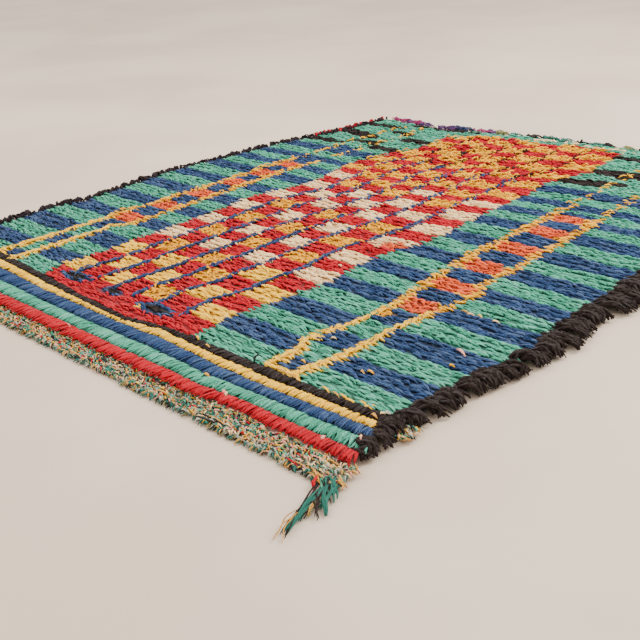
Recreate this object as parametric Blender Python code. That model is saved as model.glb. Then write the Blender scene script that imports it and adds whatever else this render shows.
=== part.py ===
"""A boucherouite rug that lies flat: knotted pile in rows, shaggy selvedges and frayed ends.

Metres, +Z up. The rug rests on z = 0. X runs across it, from the left selvedge to the right one. Y runs
along it, from the flatwoven front end to the far end. The origin is on the underside, near the middle.

The outlines are named in the weaver's own measures: how far along the rug a place is, counted from the
first row of pile, and how far across, counted from the left selvedge's outer edge.
"""
import math
import random
from typing import NamedTuple

import bmesh
import bpy
from mathutils import Vector, noise

COLLECTION = "boucherouite_rug"

# The origin in the weaver's measures
MIDDLE_ACROSS = 0.660
MIDDLE_ALONG = 0.800

# Clearance between two pieces that touch
GAP = 0.0003

# The flatwoven skirt in front of the pile
SKIRT_DEPTH = 0.020
SKIRT_HEIGHT = 0.0050
SKIRT_INNER_HEIGHT = 0.0055

# Rows of pile
FIELD_START = 0.125
FIELD_BANDS = 25
ROWS_PER_BAND = 3
VALLEY_HEIGHT = 0.0105
FIELD_CREST = 0.0165
BAND_STEP = 0.0012
LUMP_HEIGHT = 0.0016
LUMP_SIZE = 0.085
ROW_WANDER = 0.0022

# Where the relief is read: a layer for the lumps, and a layer and a pace for the rows' wander
LUMP_LAYER = 3.7
WANDER_LAYER = 9.1
WANDER_PACE = 4.0

# The cloth is this many columns wide, and its selvedge sides stand lower than the field
COLUMNS = 18
SIDE_SHARE = 0.80

# How often a place is looked up again, as the far edge is not straight
SETTLING_PASSES = 3


class Place(NamedTuple):
    """One place on an outline."""

    along: float
    across: float


class Stripe(NamedTuple):
    """One thick row of knots at the front end: where it ends, and how high its crest stands."""

    yarn: str
    end: float
    crest: float


class Line(NamedTuple):
    """One line of points across the cloth: its start, its share of the field, and its height."""

    start: float
    share: float
    height: float


class Fringe(NamedTuple):
    """A strip along one edge of the cloth, with locks that grow from its outer side."""

    name: str
    colour: tuple
    width: float
    inner_height: float
    outer_height: float
    parts: int
    every: int
    shortest: float
    longest: float
    joints: int
    tip_width: float
    slant: float
    seed: int


LEFT_EDGE = (
    Place(along=-0.03, across=0.008),
    Place(along=0.25, across=0.005),
    Place(along=0.36, across=-0.006),
    Place(along=0.47, across=0.011),
    Place(along=0.60, across=-0.008),
    Place(along=0.78, across=-0.024),
    Place(along=0.92, across=-0.009),
    Place(along=1.10, across=0.004),
    Place(along=1.32, across=0.050),
    Place(along=1.52, across=0.069),
)
RIGHT_EDGE = (
    Place(along=-0.03, across=1.306),
    Place(along=0.02, across=1.302),
    Place(along=0.07, across=1.288),
    Place(along=0.15, across=1.289),
    Place(along=0.33, across=1.305),
    Place(along=0.43, across=1.319),
    Place(along=0.49, across=1.301),
    Place(along=0.70, across=1.300),
    Place(along=1.00, across=1.306),
    Place(along=1.30, across=1.298),
    Place(along=1.62, across=1.304),
)
FAR_EDGE = (
    Place(along=1.504, across=0.05),
    Place(along=1.495, across=0.29),
    Place(along=1.534, across=0.47),
    Place(along=1.554, across=0.65),
    Place(along=1.568, across=0.87),
    Place(along=1.592, across=1.15),
    Place(along=1.600, across=1.31),
)
FRONT_STRIPES = (
    Stripe("red", end=0.024, crest=0.0170),
    Stripe("green", end=0.053, crest=0.0180),
    Stripe("blue", end=0.084, crest=0.0172),
    Stripe("yellow", end=0.104, crest=0.0160),
    Stripe("black", end=FIELD_START, crest=0.0150),
)

LEFT_SHAG = Fringe(
    "left_shag", colour=(0.055, 0.035, 0.035), width=0.0135, inner_height=0.0120, outer_height=0.0075,
    parts=1, every=3, shortest=0.004, longest=0.010, joints=1, tip_width=0.0030, slant=0.35, seed=11,
)
RIGHT_SHAG = Fringe(
    "right_shag", colour=(0.045, 0.032, 0.030), width=0.0240, inner_height=0.0130, outer_height=0.0085,
    parts=1, every=2, shortest=0.010, longest=0.028, joints=2, tip_width=0.0030, slant=0.30, seed=12,
)
FRONT_FRINGE = Fringe(
    "front_fringe", colour=(0.55, 0.42, 0.30), width=0.0055, inner_height=0.0046, outer_height=0.0040,
    parts=6, every=2, shortest=0.004, longest=0.014, joints=1, tip_width=0.0030, slant=0.35, seed=13,
)
FAR_FRINGE = Fringe(
    "far_fringe", colour=(0.42, 0.12, 0.28), width=0.0100, inner_height=0.0125, outer_height=0.0090,
    parts=6, every=2, shortest=0.012, longest=0.034, joints=2, tip_width=0.0030, slant=0.30, seed=14,
)

# The tassel's head lies beside the skirt, and its strands run on over the floor
TASSEL = Fringe(
    "corner_tassel", colour=(0.12, 0.28, 0.25), width=0.0280, inner_height=0.0060, outer_height=0.0070,
    parts=9, every=2, shortest=0.068, longest=0.084, joints=6, tip_width=0.0040, slant=0.05, seed=15,
)
TASSEL_HEAD_WIDTH = 0.0240
TASSEL_HEAD_START = -0.0015
TASSEL_LEAN = 0.19
TASSEL_SPREAD = 0.26

LOCK_TIP_HEIGHT = 0.0028
LOCK_BOW = 0.12
LOCK_BOW_TURN = 1.5
LOCK_WAVE = 0.11

CLOTH_COLOUR = (0.24, 0.16, 0.14)
ROUGHNESS = 0.92


def clear_scene() -> None:
    """Removes what the file opens with."""
    for old in list(bpy.data.objects):
        bpy.data.objects.remove(old, do_unlink=True)


def new_collection() -> bpy.types.Collection:
    """Makes the collection that holds the rug."""
    collection = bpy.data.collections.new(COLLECTION)
    bpy.context.scene.collection.children.link(collection)
    return collection


def yarn_material(name: str, colour: tuple) -> bpy.types.Material:
    """Makes a plain matt yarn material."""
    material = bpy.data.materials.new(name + "_yarn")
    material.use_nodes = True
    shader = material.node_tree.nodes["Principled BSDF"]
    shader.inputs["Base Color"].default_value = (*colour, 1.0)
    shader.inputs["Roughness"].default_value = ROUGHNESS
    shader.inputs["Metallic"].default_value = 0.0
    return material


def add_object(name: str, form: bmesh.types.BMesh, colour: tuple, collection: bpy.types.Collection) -> None:
    """Turns a closed form into a named object with its faces pointing out."""
    bmesh.ops.recalc_face_normals(form, faces=form.faces[:])
    mesh = bpy.data.meshes.new(name)
    form.to_mesh(mesh)
    form.free()
    mesh.materials.append(yarn_material(name, colour))
    collection.objects.link(bpy.data.objects.new(name, mesh))


def ease(share: float) -> float:
    """Eases a share from 0 to 1 so that an outline bends softly at its places."""
    return share * share * (3.0 - 2.0 * share)


def read_outline(known: tuple, values: tuple, at: float) -> float:
    """Reads a smooth value between the known places of an outline."""
    if at <= known[0]:
        return values[0]
    for low, high, start, end in zip(known, known[1:], values, values[1:]):
        if at <= high:
            return start + (end - start) * ease((at - low) / (high - low))
    return values[-1]


def side_at(edge: tuple, along: float) -> float:
    """Gives how far across a side edge lies, at a place along the rug."""
    return read_outline([place.along for place in edge], [place.across for place in edge], along)


def far_at(across: float) -> float:
    """Gives how far along the rug the pile ends, at a place across it."""
    return read_outline([place.across for place in FAR_EDGE], [place.along for place in FAR_EDGE], across)


def row_lines() -> list:
    """Lists the cloth's lines of points, from the skirt's edge to the far end."""
    lines = [Line(-SKIRT_DEPTH, 0.0, SKIRT_HEIGHT), Line(-0.001, 0.0, SKIRT_INNER_HEIGHT)]
    start = 0.001
    lines.append(Line(start, 0.0, VALLEY_HEIGHT))
    for stripe in FRONT_STRIPES:
        lines.append(Line((start + stripe.end) / 2, 0.0, stripe.crest))
        lines.append(Line(stripe.end, 0.0, VALLEY_HEIGHT))
        start = stripe.end
    rows = FIELD_BANDS * ROWS_PER_BAND
    for row in range(rows):
        raised = BAND_STEP if (row // ROWS_PER_BAND) % 2 == 0 else 0.0
        lines.append(Line(FIELD_START, (row + 0.5) / rows, FIELD_CREST + raised))
        lines.append(Line(FIELD_START, (row + 1.0) / rows, VALLEY_HEIGHT))
    return lines


def cloth_point(line: Line, share: float) -> Vector:
    """Places one point of the cloth's top.

    The share runs from 0 at the left selvedge to 1 at the right one. Only points inside the field wander
    and lump, so that the edges stay where the outlines put them.
    """
    along = line.start
    across = 0.0
    for _ in range(SETTLING_PASSES):
        left = side_at(LEFT_EDGE, along) + LEFT_SHAG.width + GAP
        right = side_at(RIGHT_EDGE, along)
        across = left + (right - left) * share
        along = line.start + line.share * (far_at(across) - FIELD_START)
    inside = 0.0 < share < 1.0
    height = line.height
    if line.height > SKIRT_INNER_HEIGHT:
        lump = Vector((across / LUMP_SIZE, along / LUMP_SIZE, LUMP_LAYER))
        height += LUMP_HEIGHT * noise.noise(lump)
        if inside and line.share < 1.0:
            wander = Vector((across / LUMP_SIZE, line.share * WANDER_PACE + line.start, WANDER_LAYER))
            along += ROW_WANDER * noise.noise(wander)
        if not inside:
            height *= SIDE_SHARE
    return Vector((across - MIDDLE_ACROSS, along - MIDDLE_ALONG, height))


def build_cloth(lines: list, collection: bpy.types.Collection) -> None:
    """Builds the pile field and its skirt as one lumpy slab with a flat underside."""
    form = bmesh.new()
    spans = len(lines) - 1
    bmesh.ops.create_grid(form, x_segments=COLUMNS, y_segments=spans, size=1.0)
    for vert in form.verts:
        column = round((vert.co.x + 1.0) / 2.0 * COLUMNS)
        row = round((vert.co.y + 1.0) / 2.0 * spans)
        vert.co = cloth_point(lines[row], column / COLUMNS)
    rim = [edge for edge in form.edges if edge.is_boundary]
    skirt = bmesh.ops.extrude_edge_only(form, edges=rim)["geom"]
    for vert in skirt:
        if isinstance(vert, bmesh.types.BMVert):
            vert.co.z = 0.0
    bottom = [edge for edge in skirt if isinstance(edge, bmesh.types.BMEdge) and edge.is_boundary]
    bmesh.ops.triangle_fill(form, edges=bottom, use_beauty=True, use_dissolve=False)
    add_object("rug_cloth", form, CLOTH_COLOUR, collection)


def split_edge(points: list, parts: int) -> list:
    """Divides each stretch between two edge points evenly, on the same straight lines."""
    split = []
    for start, end in zip(points, points[1:]):
        split += [start.lerp(end, part / parts) for part in range(parts)]
    return split + [points[-1]]


def outward(points: list, place: int) -> Vector:
    """Gives the level direction that points away from the cloth, to the right of an edge's travel."""
    before = points[max(place - 1, 0)]
    after = points[min(place + 1, len(points) - 1)]
    travel = (after - before).to_2d().normalized()
    return Vector((travel.y, -travel.x, 0.0))


def grow_lock(form: bmesh.types.BMesh, face: bmesh.types.BMFace, station: bmesh.types.BMLayerItem,
              fringe: Fringe, length: float, lean: float) -> None:
    """Grows one lock from a strip's outer face: level on the floor, narrower and lower to its tip."""
    floor_corners = sorted((vert for vert in face.verts if vert.co.z < GAP), key=lambda vert: vert[station])
    start, end = floor_corners[0].co.copy(), floor_corners[-1].co.copy()
    root = (start + end) / 2
    travel = (end - start).normalized()
    away = Vector((travel.y, -travel.x, 0.0))
    root_width = (end - start).length
    low_station = floor_corners[0][station]
    for joint in range(1, fringe.joints + 1):
        share = joint / fringe.joints
        turn = lean + LOCK_BOW * math.sin(share * math.pi * LOCK_BOW_TURN)
        middle = root + (away * math.cos(turn) + travel * math.sin(turn)) * (length * share)
        half = (root_width + (fringe.tip_width - root_width) * math.sqrt(share)) / 2
        height = fringe.outer_height + (LOCK_TIP_HEIGHT - fringe.outer_height) * math.sqrt(share)
        face = bmesh.ops.extrude_discrete_faces(form, faces=[face])["faces"][0]
        for vert in face.verts:
            side = -half if vert[station] == low_station else half
            lift = height if vert.co.z > GAP else 0.0
            place = middle + travel * side
            vert.co = Vector((place.x, place.y, lift))


def build_fringe(fringe: Fringe, edge: list, collection: bpy.types.Collection, lean: float = 0.0,
                 spread: float = 0.0) -> None:
    """Builds a strip beside an edge of the cloth, and the locks along its outer side.

    The edge runs with the cloth on its left. A lock stands at every few places along the strip. The lean
    turns all the locks one way, and the spread fans them out from the strip's middle.
    """
    pick = random.Random(fringe.seed)
    form = bmesh.new()
    station = form.verts.layers.int.new("station")
    outer = form.verts.layers.int.new("outer")
    points = split_edge(edge, fringe.parts)
    cells = len(points) - 1
    bmesh.ops.create_grid(form, x_segments=cells, y_segments=1, size=1.0)
    for vert in form.verts:
        vert[station] = round((vert.co.x + 1.0) / 2.0 * cells)
        vert[outer] = int(vert.co.y < 0.0)
        reach = GAP + fringe.width * vert[outer]
        place = points[vert[station]] + outward(points, vert[station]) * reach
        vert.co = Vector((place.x, place.y, 0.0))
    lid = bmesh.ops.extrude_face_region(form, geom=form.faces[:])["geom"]
    for vert in lid:
        if isinstance(vert, bmesh.types.BMVert):
            vert.co.z = fringe.outer_height if vert[outer] else fringe.inner_height
    walls = {
        min(vert[station] for vert in face.verts): face
        for face in form.faces
        if all(vert[outer] for vert in face.verts)
    }
    for place in range(0, cells, fringe.every):
        wave = noise.noise(Vector((place * LOCK_WAVE, fringe.seed, 0.0)))
        length = fringe.shortest + (fringe.longest - fringe.shortest) * pick.random()
        fan = spread * (place / max(cells - 1, 1) - 0.5)
        at_corner = place < 2 or place > cells - 3
        turn = lean + fan + (0.0 if at_corner else fringe.slant * wave)
        grow_lock(form, walls[place], station, fringe, length, turn)
    add_object(fringe.name, form, fringe.colour, collection)


def main() -> None:
    """Builds the rug."""
    clear_scene()
    collection = new_collection()
    lines = row_lines()
    build_cloth(lines, collection)

    pile_lines = lines[2:]
    right = [cloth_point(line, 1.0) for line in pile_lines]
    left = [cloth_point(line, 0.0) for line in reversed(pile_lines)]
    front = [cloth_point(lines[0], column / COLUMNS) for column in range(COLUMNS + 1)]
    far = [cloth_point(lines[-1], column / COLUMNS) for column in range(COLUMNS, -1, -1)]
    build_fringe(RIGHT_SHAG, right, collection)
    build_fringe(LEFT_SHAG, left, collection)
    build_fringe(FRONT_FRINGE, front, collection)
    build_fringe(FAR_FRINGE, far, collection)

    corner = front[-1]
    head_along = TASSEL_HEAD_START - MIDDLE_ALONG
    head_side = corner.x + GAP * 2
    head = [Vector((head_side, head_along, 0.0)), Vector((head_side + TASSEL_HEAD_WIDTH, head_along, 0.0))]
    build_fringe(TASSEL, head, collection, lean=TASSEL_LEAN, spread=TASSEL_SPREAD)


main()
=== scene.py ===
"""Dresses a boucherouite rug: every strand of its knotted pile, its selvedges, its rag skirt and its ends.

Metres, +Z up. The rug rests on z = 0. Places on it are given in the weaver's measures: how far across
the rug, from the left selvedge's outer edge, and how far along it, from the first row of pile.
"""
import logging
import math
from dataclasses import astuple, dataclass, replace
from enum import Enum

import bmesh
import bpy
import numpy as np
from mathutils import Matrix, Vector


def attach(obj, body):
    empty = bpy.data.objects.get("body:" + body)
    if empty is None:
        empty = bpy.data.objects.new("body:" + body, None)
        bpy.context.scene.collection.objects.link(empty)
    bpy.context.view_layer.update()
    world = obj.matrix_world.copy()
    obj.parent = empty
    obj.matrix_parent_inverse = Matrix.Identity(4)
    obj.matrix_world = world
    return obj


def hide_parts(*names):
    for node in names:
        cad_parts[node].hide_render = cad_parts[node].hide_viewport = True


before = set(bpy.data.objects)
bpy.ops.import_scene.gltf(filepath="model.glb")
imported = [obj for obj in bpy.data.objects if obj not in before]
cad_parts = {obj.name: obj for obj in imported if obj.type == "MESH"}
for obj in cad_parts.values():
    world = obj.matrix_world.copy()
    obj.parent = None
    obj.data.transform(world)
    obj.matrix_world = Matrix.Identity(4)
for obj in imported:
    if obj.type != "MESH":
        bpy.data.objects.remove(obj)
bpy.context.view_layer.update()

BODY = "root"

# The origin in the weaver's measures
MIDDLE_ACROSS = 0.660
MIDDLE_ALONG = 0.800

# What the materials read from a mesh: a strand's own shade, its wrap, and the ground's yarn colours with
# painted shade
TINT = "tint"
WRAP = "wrap"
BED = "bed"

# Keeps a share from being divided by nothing
TINY = 0.001

log = logging.getLogger("rug")


class Yarn(Enum):
    """The yarns that the rug is made from."""

    RED = "red"
    GREEN = "green"
    BLUE = "blue"
    YELLOW = "yellow"
    GOLD = "gold"
    CREAM = "cream"
    SALMON = "salmon"
    ORANGE = "orange"
    BLACK = "black"
    SELVEDGE = "selvedge"
    TEAL = "teal"
    OCHRE = "ochre"
    GREY = "grey"
    PINK = "pink"
    MAGENTA = "magenta"
    PURPLE = "purple"
    NAVY = "navy"
    OLIVE = "olive"


YARNS = list(Yarn)
CODE = {yarn: number for number, yarn in enumerate(YARNS)}


@dataclass(frozen=True)
class YarnFinish:
    """How one yarn looks. Colours are as the eye names them, from 0 to 1.

    Attributes:
        slot: the record's material slot; not used.
        colour: the yarn's own colour.
        depth: how much of its colour is left in the shade between strands.
        fade: how far its worn, fuzzy fibres have paled.
        roughness: how matt it is.
        sheen: how much its fibres catch the light at a grazing angle.
        sheen_roughness: how widely they do.
        specular: how much light it mirrors.
        turns: twists of the yarn in one strand.
    """

    slot: str
    colour: tuple[float, float, float]
    depth: float = 0.58
    fade: float = 0.22
    roughness: float = 0.86
    sheen: float = 0.04
    sheen_roughness: float = 0.5
    specular: float = 0.12
    turns: float = 2.0

    def deep(self) -> tuple[float, float, float]:
        """Gives the colour in the shade between strands."""
        return tuple(part * self.depth for part in self.colour)

    def worn(self) -> tuple[float, float, float]:
        """Gives the colour of the paled fibres."""
        return tuple(part + (1.0 - part) * self.fade for part in self.colour)


FINISHES = {
    Yarn.RED: YarnFinish("red_yarn", (0.74, 0.05, 0.11), fade=0.10),
    Yarn.GREEN: YarnFinish("green_yarn", (0.26, 0.62, 0.49), depth=0.42, fade=0.27),
    Yarn.BLUE: YarnFinish("blue_yarn", (0.15, 0.25, 0.41), depth=0.36, fade=0.20),
    Yarn.YELLOW: YarnFinish("yellow_yarn", (1.00, 0.77, 0.15), depth=0.70, fade=0.20),
    Yarn.GOLD: YarnFinish("yellow_yarn", (0.97, 0.67, 0.04), depth=0.48, fade=0.14),
    Yarn.CREAM: YarnFinish("cream_yarn", (0.99, 0.82, 0.58), depth=0.62),
    Yarn.SALMON: YarnFinish("salmon_yarn", (0.90, 0.34, 0.16), depth=0.58, fade=0.16),
    Yarn.ORANGE: YarnFinish("yellow_yarn", (1.00, 0.71, 0.07), depth=0.50, fade=0.14),
    Yarn.BLACK: YarnFinish("black_yarn", (0.15, 0.105, 0.09), depth=0.34, fade=0.07),
    Yarn.SELVEDGE: YarnFinish("selvedge_yarn", (0.16, 0.11, 0.12), depth=0.40, fade=0.08),
    Yarn.TEAL: YarnFinish("tassel_yarn", (0.13, 0.38, 0.32), depth=0.50),
    Yarn.OCHRE: YarnFinish("mixed_rag", (0.84, 0.60, 0.26)),
    Yarn.GREY: YarnFinish("mixed_rag", (0.66, 0.66, 0.58)),
    Yarn.PINK: YarnFinish("mixed_rag", (0.94, 0.60, 0.52), depth=0.68),
    Yarn.MAGENTA: YarnFinish("far_knots", (0.58, 0.14, 0.34)),
    Yarn.PURPLE: YarnFinish("far_knots", (0.34, 0.19, 0.38)),
    Yarn.NAVY: YarnFinish("far_knots", (0.15, 0.17, 0.31)),
    Yarn.OLIVE: YarnFinish("mixed_rag", (0.50, 0.48, 0.28)),
}


def linear(colour: tuple[float, float, float]) -> tuple[float, float, float, float]:
    """Turns a colour as the eye names it into the shader's linear one.

    Args:
        colour: red, green and blue from 0 to 1, as on a screen.

    Returns:
        The same colour in linear light, with full alpha.
    """
    threshold, slope, offset, power = 0.04045, 12.92, 0.055, 2.4
    parts = [
        part / slope if part <= threshold else ((part + offset) / (1 + offset)) ** power
        for part in colour
    ]
    return (parts[0], parts[1], parts[2], 1.0)


@dataclass(frozen=True)
class Ramp:
    """How much of an effect a value gives: none at one value, rising smoothly to the most at another.

    Attributes:
        none_at: the value that gives none of it.
        most_at: the value that gives the most.
        most: how much that is.
    """

    none_at: float
    most_at: float
    most: float = 1.0


class NodeTools:
    """Small helpers that place and join shader nodes in one tree."""

    def __init__(self, tree: bpy.types.NodeTree) -> None:
        """Keeps the tree that the nodes go into."""
        self.tree = tree

    def add(self, kind: str, **settings: object) -> bpy.types.Node:
        """Places a node.

        Args:
            kind: the node's Blender type.
            settings: the node's own settings, by name.

        Returns:
            The new node.
        """
        node = self.tree.nodes.new(kind)
        for name, value in settings.items():
            setattr(node, name, value)
        return node

    def join(self, start: bpy.types.NodeSocket, end: bpy.types.NodeSocket) -> None:
        """Joins an output to an input."""
        self.tree.links.new(start, end)

    def math(self, operation: str, *values: object) -> bpy.types.NodeSocket:
        """Places a Math node.

        Args:
            operation: what it does.
            values: its inputs, each a number or another node's output.

        Returns:
            Its output.
        """
        node = self.add("ShaderNodeMath", operation=operation)
        for place, value in enumerate(values):
            if isinstance(value, bpy.types.NodeSocket):
                self.join(value, node.inputs[place])
            else:
                node.inputs[place].default_value = value
        return node.outputs[0]

    def mix(self, share: object, start: object, end: object) -> bpy.types.NodeSocket:
        """Mixes two colours.

        Args:
            share: how much of the second one there is.
            start: the first colour.
            end: the second colour.

        Returns:
            The mixed colour.
        """
        node = self.add("ShaderNodeMix", data_type="RGBA")
        for name, value in (("Factor_Float", share), ("A_Color", start), ("B_Color", end)):
            socket = next(entry for entry in node.inputs if entry.identifier == name)
            if isinstance(value, bpy.types.NodeSocket):
                self.join(value, socket)
            else:
                socket.default_value = value
        return next(entry for entry in node.outputs if entry.identifier == "Result_Color")

    def noise(self, place: bpy.types.NodeSocket, scale: float,
              detail: float) -> bpy.types.NodeSocket:
        """Places a noise pattern.

        Args:
            place: the coordinates that it reads.
            scale: its scale, in waves a metre.
            detail: how many finer layers it has.

        Returns:
            Its value.
        """
        node = self.add("ShaderNodeTexNoise")
        node.inputs["Scale"].default_value = scale
        node.inputs["Detail"].default_value = detail
        self.join(place, node.inputs["Vector"])
        return node.outputs["Fac"]

    def share(self, value: bpy.types.NodeSocket, ramp: Ramp) -> bpy.types.NodeSocket:
        """Turns a value into the share of an effect.

        Args:
            value: what is turned.
            ramp: how much of the effect each value gives.

        Returns:
            The share.
        """
        node = self.add("ShaderNodeMapRange", interpolation_type="SMOOTHSTEP")
        node.inputs["From Min"].default_value = ramp.none_at
        node.inputs["From Max"].default_value = ramp.most_at
        node.inputs["To Min"].default_value = 0.0
        node.inputs["To Max"].default_value = ramp.most
        self.join(value, node.inputs["Value"])
        return node.outputs["Result"]


@dataclass
class YarnSurface:
    """The shader node group that all the yarns share: twist, fuzz, strand shades, and painted shade in the
    ply grooves and towards the roots.

    Attributes:
        plies: how many plies a strand is twisted from.
        ply_depth: how far the twist stands out, in metres.
        patch_scale: how fine the broad changes of shade are, in waves a metre.
        patch_detail: how many finer layers they have.
        patch_pull: how much they count beside a strand's own shade.
        fibre_scale: how fine the fuzz is, in waves a metre.
        fibre_detail: how many finer layers it has.
        fibre_relief: how far it stands out, as a share of the twist.
        fibre_rough: how much it changes the roughness.
        faded: how pale the light strands are.
        dulled: how deep the dark strands are.
        fuzzed: how pale the fuzz is.
        groove_shade: how much painted shade darkens the grooves between the plies.
        root_shade: how much painted shade darkens a strand towards its root, among the other strands.
    """

    plies: int = 2
    ply_depth: float = 0.0005
    patch_scale: float = 9.0
    patch_detail: float = 3.0
    patch_pull: float = 0.6
    fibre_scale: float = 900.0
    fibre_detail: float = 2.0
    fibre_relief: float = 0.5
    fibre_rough: float = 0.16
    faded: Ramp = Ramp(0.70, 1.40, 0.70)
    dulled: Ramp = Ramp(0.66, 0.20, 0.50)
    fuzzed: Ramp = Ramp(0.50, 0.72, 0.40)
    groove_shade: Ramp = Ramp(0.45, 0.05, 0.25)
    root_shade: Ramp = Ramp(0.30, 0.02, 0.75)

    def build(self) -> bpy.types.NodeTree:
        """Builds the group.

        Returns:
            The node group, with Colour, Roughness and Normal outputs.
        """
        group = bpy.data.node_groups.new("yarn_surface", "ShaderNodeTree")
        for name, kind in (("Colour", "NodeSocketColor"), ("Deep", "NodeSocketColor"),
                           ("Worn", "NodeSocketColor"), ("Turns", "NodeSocketFloat"),
                           ("Roughness", "NodeSocketFloat")):
            group.interface.new_socket(name, in_out="INPUT", socket_type=kind)
        for name, kind in (("Colour", "NodeSocketColor"), ("Roughness", "NodeSocketFloat"),
                           ("Normal", "NodeSocketVector")):
            group.interface.new_socket(name, in_out="OUTPUT", socket_type=kind)
        tools = NodeTools(group)
        given = tools.add("NodeGroupInput").outputs
        put_out = tools.add("NodeGroupOutput").inputs

        place = tools.add("ShaderNodeTexCoord").outputs["Object"]
        tint = tools.add("ShaderNodeAttribute", attribute_name=TINT).outputs["Fac"]
        wrap = tools.add("ShaderNodeSeparateXYZ")
        tools.join(tools.add("ShaderNodeUVMap", uv_map=WRAP).outputs["UV"], wrap.inputs[0])

        wound = tools.math("MULTIPLY_ADD", wrap.outputs["Y"], given["Turns"], wrap.outputs["X"])
        angle = tools.math("MULTIPLY", wound, 2 * math.pi * self.plies)
        twist = tools.math("MULTIPLY_ADD", tools.math("SINE", angle), 0.5, 0.5)
        fibres = tools.noise(place, self.fibre_scale, self.fibre_detail)
        patches = tools.noise(place, self.patch_scale, self.patch_detail)

        light = tools.math("MULTIPLY_ADD", patches, self.patch_pull, tint)
        colour = tools.mix(tools.share(light, self.faded), given["Colour"], given["Worn"])
        colour = tools.mix(tools.share(light, self.dulled), colour, given["Deep"])
        colour = tools.mix(tools.share(fibres, self.fuzzed), colour, given["Worn"])
        # Painted shade: darker in the grooves between the plies.
        colour = tools.mix(tools.share(twist, self.groove_shade), colour, given["Deep"])
        # Painted shade: darker towards the root, where a strand lies deep among the others.
        colour = tools.mix(tools.share(wrap.outputs["Y"], self.root_shade), colour, given["Deep"])
        tools.join(colour, put_out["Colour"])

        rough = tools.math("MULTIPLY_ADD", fibres, self.fibre_rough, given["Roughness"])
        tools.join(tools.math("SUBTRACT", rough, self.fibre_rough / 2), put_out["Roughness"])

        bump = tools.add("ShaderNodeBump")
        bump.inputs["Distance"].default_value = self.ply_depth
        height = tools.math("MULTIPLY_ADD", fibres, self.fibre_relief, twist)
        tools.join(height, bump.inputs["Height"])
        tools.join(bump.outputs["Normal"], put_out["Normal"])
        return group


class YarnShop:
    """Makes one material for each yarn, the first time that it is asked for."""

    def __init__(self) -> None:
        """Builds the shared surface."""
        self.surface = YarnSurface().build()
        self.made: dict[Yarn, bpy.types.Material] = {}

    def material(self, yarn: Yarn) -> bpy.types.Material:
        """Gives a yarn's material.

        Args:
            yarn: which yarn.

        Returns:
            Its material.
        """
        if yarn in self.made:
            return self.made[yarn]
        finish = FINISHES[yarn]
        material = bpy.data.materials.new(yarn.value + "_wool")
        material.use_nodes = True
        tools = NodeTools(material.node_tree)
        shader = material.node_tree.nodes["Principled BSDF"]
        surface = tools.add("ShaderNodeGroup", node_tree=self.surface)
        surface.inputs["Colour"].default_value = linear(finish.colour)
        surface.inputs["Deep"].default_value = linear(finish.deep())
        surface.inputs["Worn"].default_value = linear(finish.worn())
        surface.inputs["Turns"].default_value = finish.turns
        surface.inputs["Roughness"].default_value = finish.roughness
        tools.join(surface.outputs["Colour"], shader.inputs["Base Color"])
        tools.join(surface.outputs["Roughness"], shader.inputs["Roughness"])
        tools.join(surface.outputs["Normal"], shader.inputs["Normal"])
        shader.inputs["Sheen Weight"].default_value = finish.sheen
        shader.inputs["Sheen Roughness"].default_value = finish.sheen_roughness
        shader.inputs["Specular IOR Level"].default_value = finish.specular
        self.made[yarn] = material
        return material


@dataclass
class Swell:
    """A smooth random relief, from about -1 to 1, made of a few long waves.

    Attributes:
        size: the distance from one swell to the next, in metres.
        seed: which relief it is.
        waves: how many waves cross.
        stretch: between which multiples of the size their lengths lie.
    """

    size: float
    seed: int
    waves: int = 6
    stretch: tuple[float, float] = (0.7, 1.6)

    def at(self, across: np.ndarray, along: np.ndarray) -> np.ndarray:
        """Reads the relief.

        Args:
            across: places across the rug.
            along: places along it.

        Returns:
            The relief at each place.
        """
        pick = np.random.default_rng(self.seed)
        total = np.zeros(np.broadcast(across, along).shape)
        for _ in range(self.waves):
            turn, start = pick.uniform(0, 2 * math.pi, 2)
            pace = 2 * math.pi / (self.size * pick.uniform(*self.stretch))
            ahead = across * math.cos(turn) + along * math.sin(turn)
            total = total + np.sin(ahead * pace + start)
        return total / math.sqrt(self.waves * 2.0)


@dataclass(frozen=True)
class Outline:
    """A line through known places, with straight stretches between them.

    Attributes:
        known: where it is known.
        values: what it is there.
    """

    known: tuple[float, ...]
    values: tuple[float, ...]

    def at(self, places: np.ndarray) -> np.ndarray:
        """Reads the line at some places."""
        return np.interp(places, self.known, self.values)


@dataclass(frozen=True)
class Ladder:
    """Two thin lines that run lengthwise in a side panel, with diamonds between them.

    Attributes:
        outer: the line nearer the left.
        inner: the line nearer the right.
        width: how wide a line is.
        diamonds_from: where along the rug the coloured diamonds start.
        ends: where along the rug the ladder ends.
        specks_to: how far along the rug loose specks of it go on.
        speck_share: the share of the lines that they fill.
        foot: how far along the rug the lines are joined.
        heart: how much being off a diamond's centre counts, sideways and lengthwise.
        heart_size: how far off its darker heart goes.
        notch: how much being off it lengthwise counts at its cut corners.
        notch_size: how far off they are cut.
    """

    outer: Outline
    inner: Outline
    width: Outline = Outline((0.13, 0.27, 0.30, 0.40, 0.44), (0.020, 0.018, 0.009, 0.009, 0.019))
    diamonds_from: float = 0.425
    ends: float = 1.03
    specks_to: float = 1.46
    speck_share: float = 0.42
    foot: float = 0.148
    heart: tuple[float, float] = (0.80, 0.55)
    heart_size: float = 0.92
    notch: float = 0.45
    notch_size: float = 1.20


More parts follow.
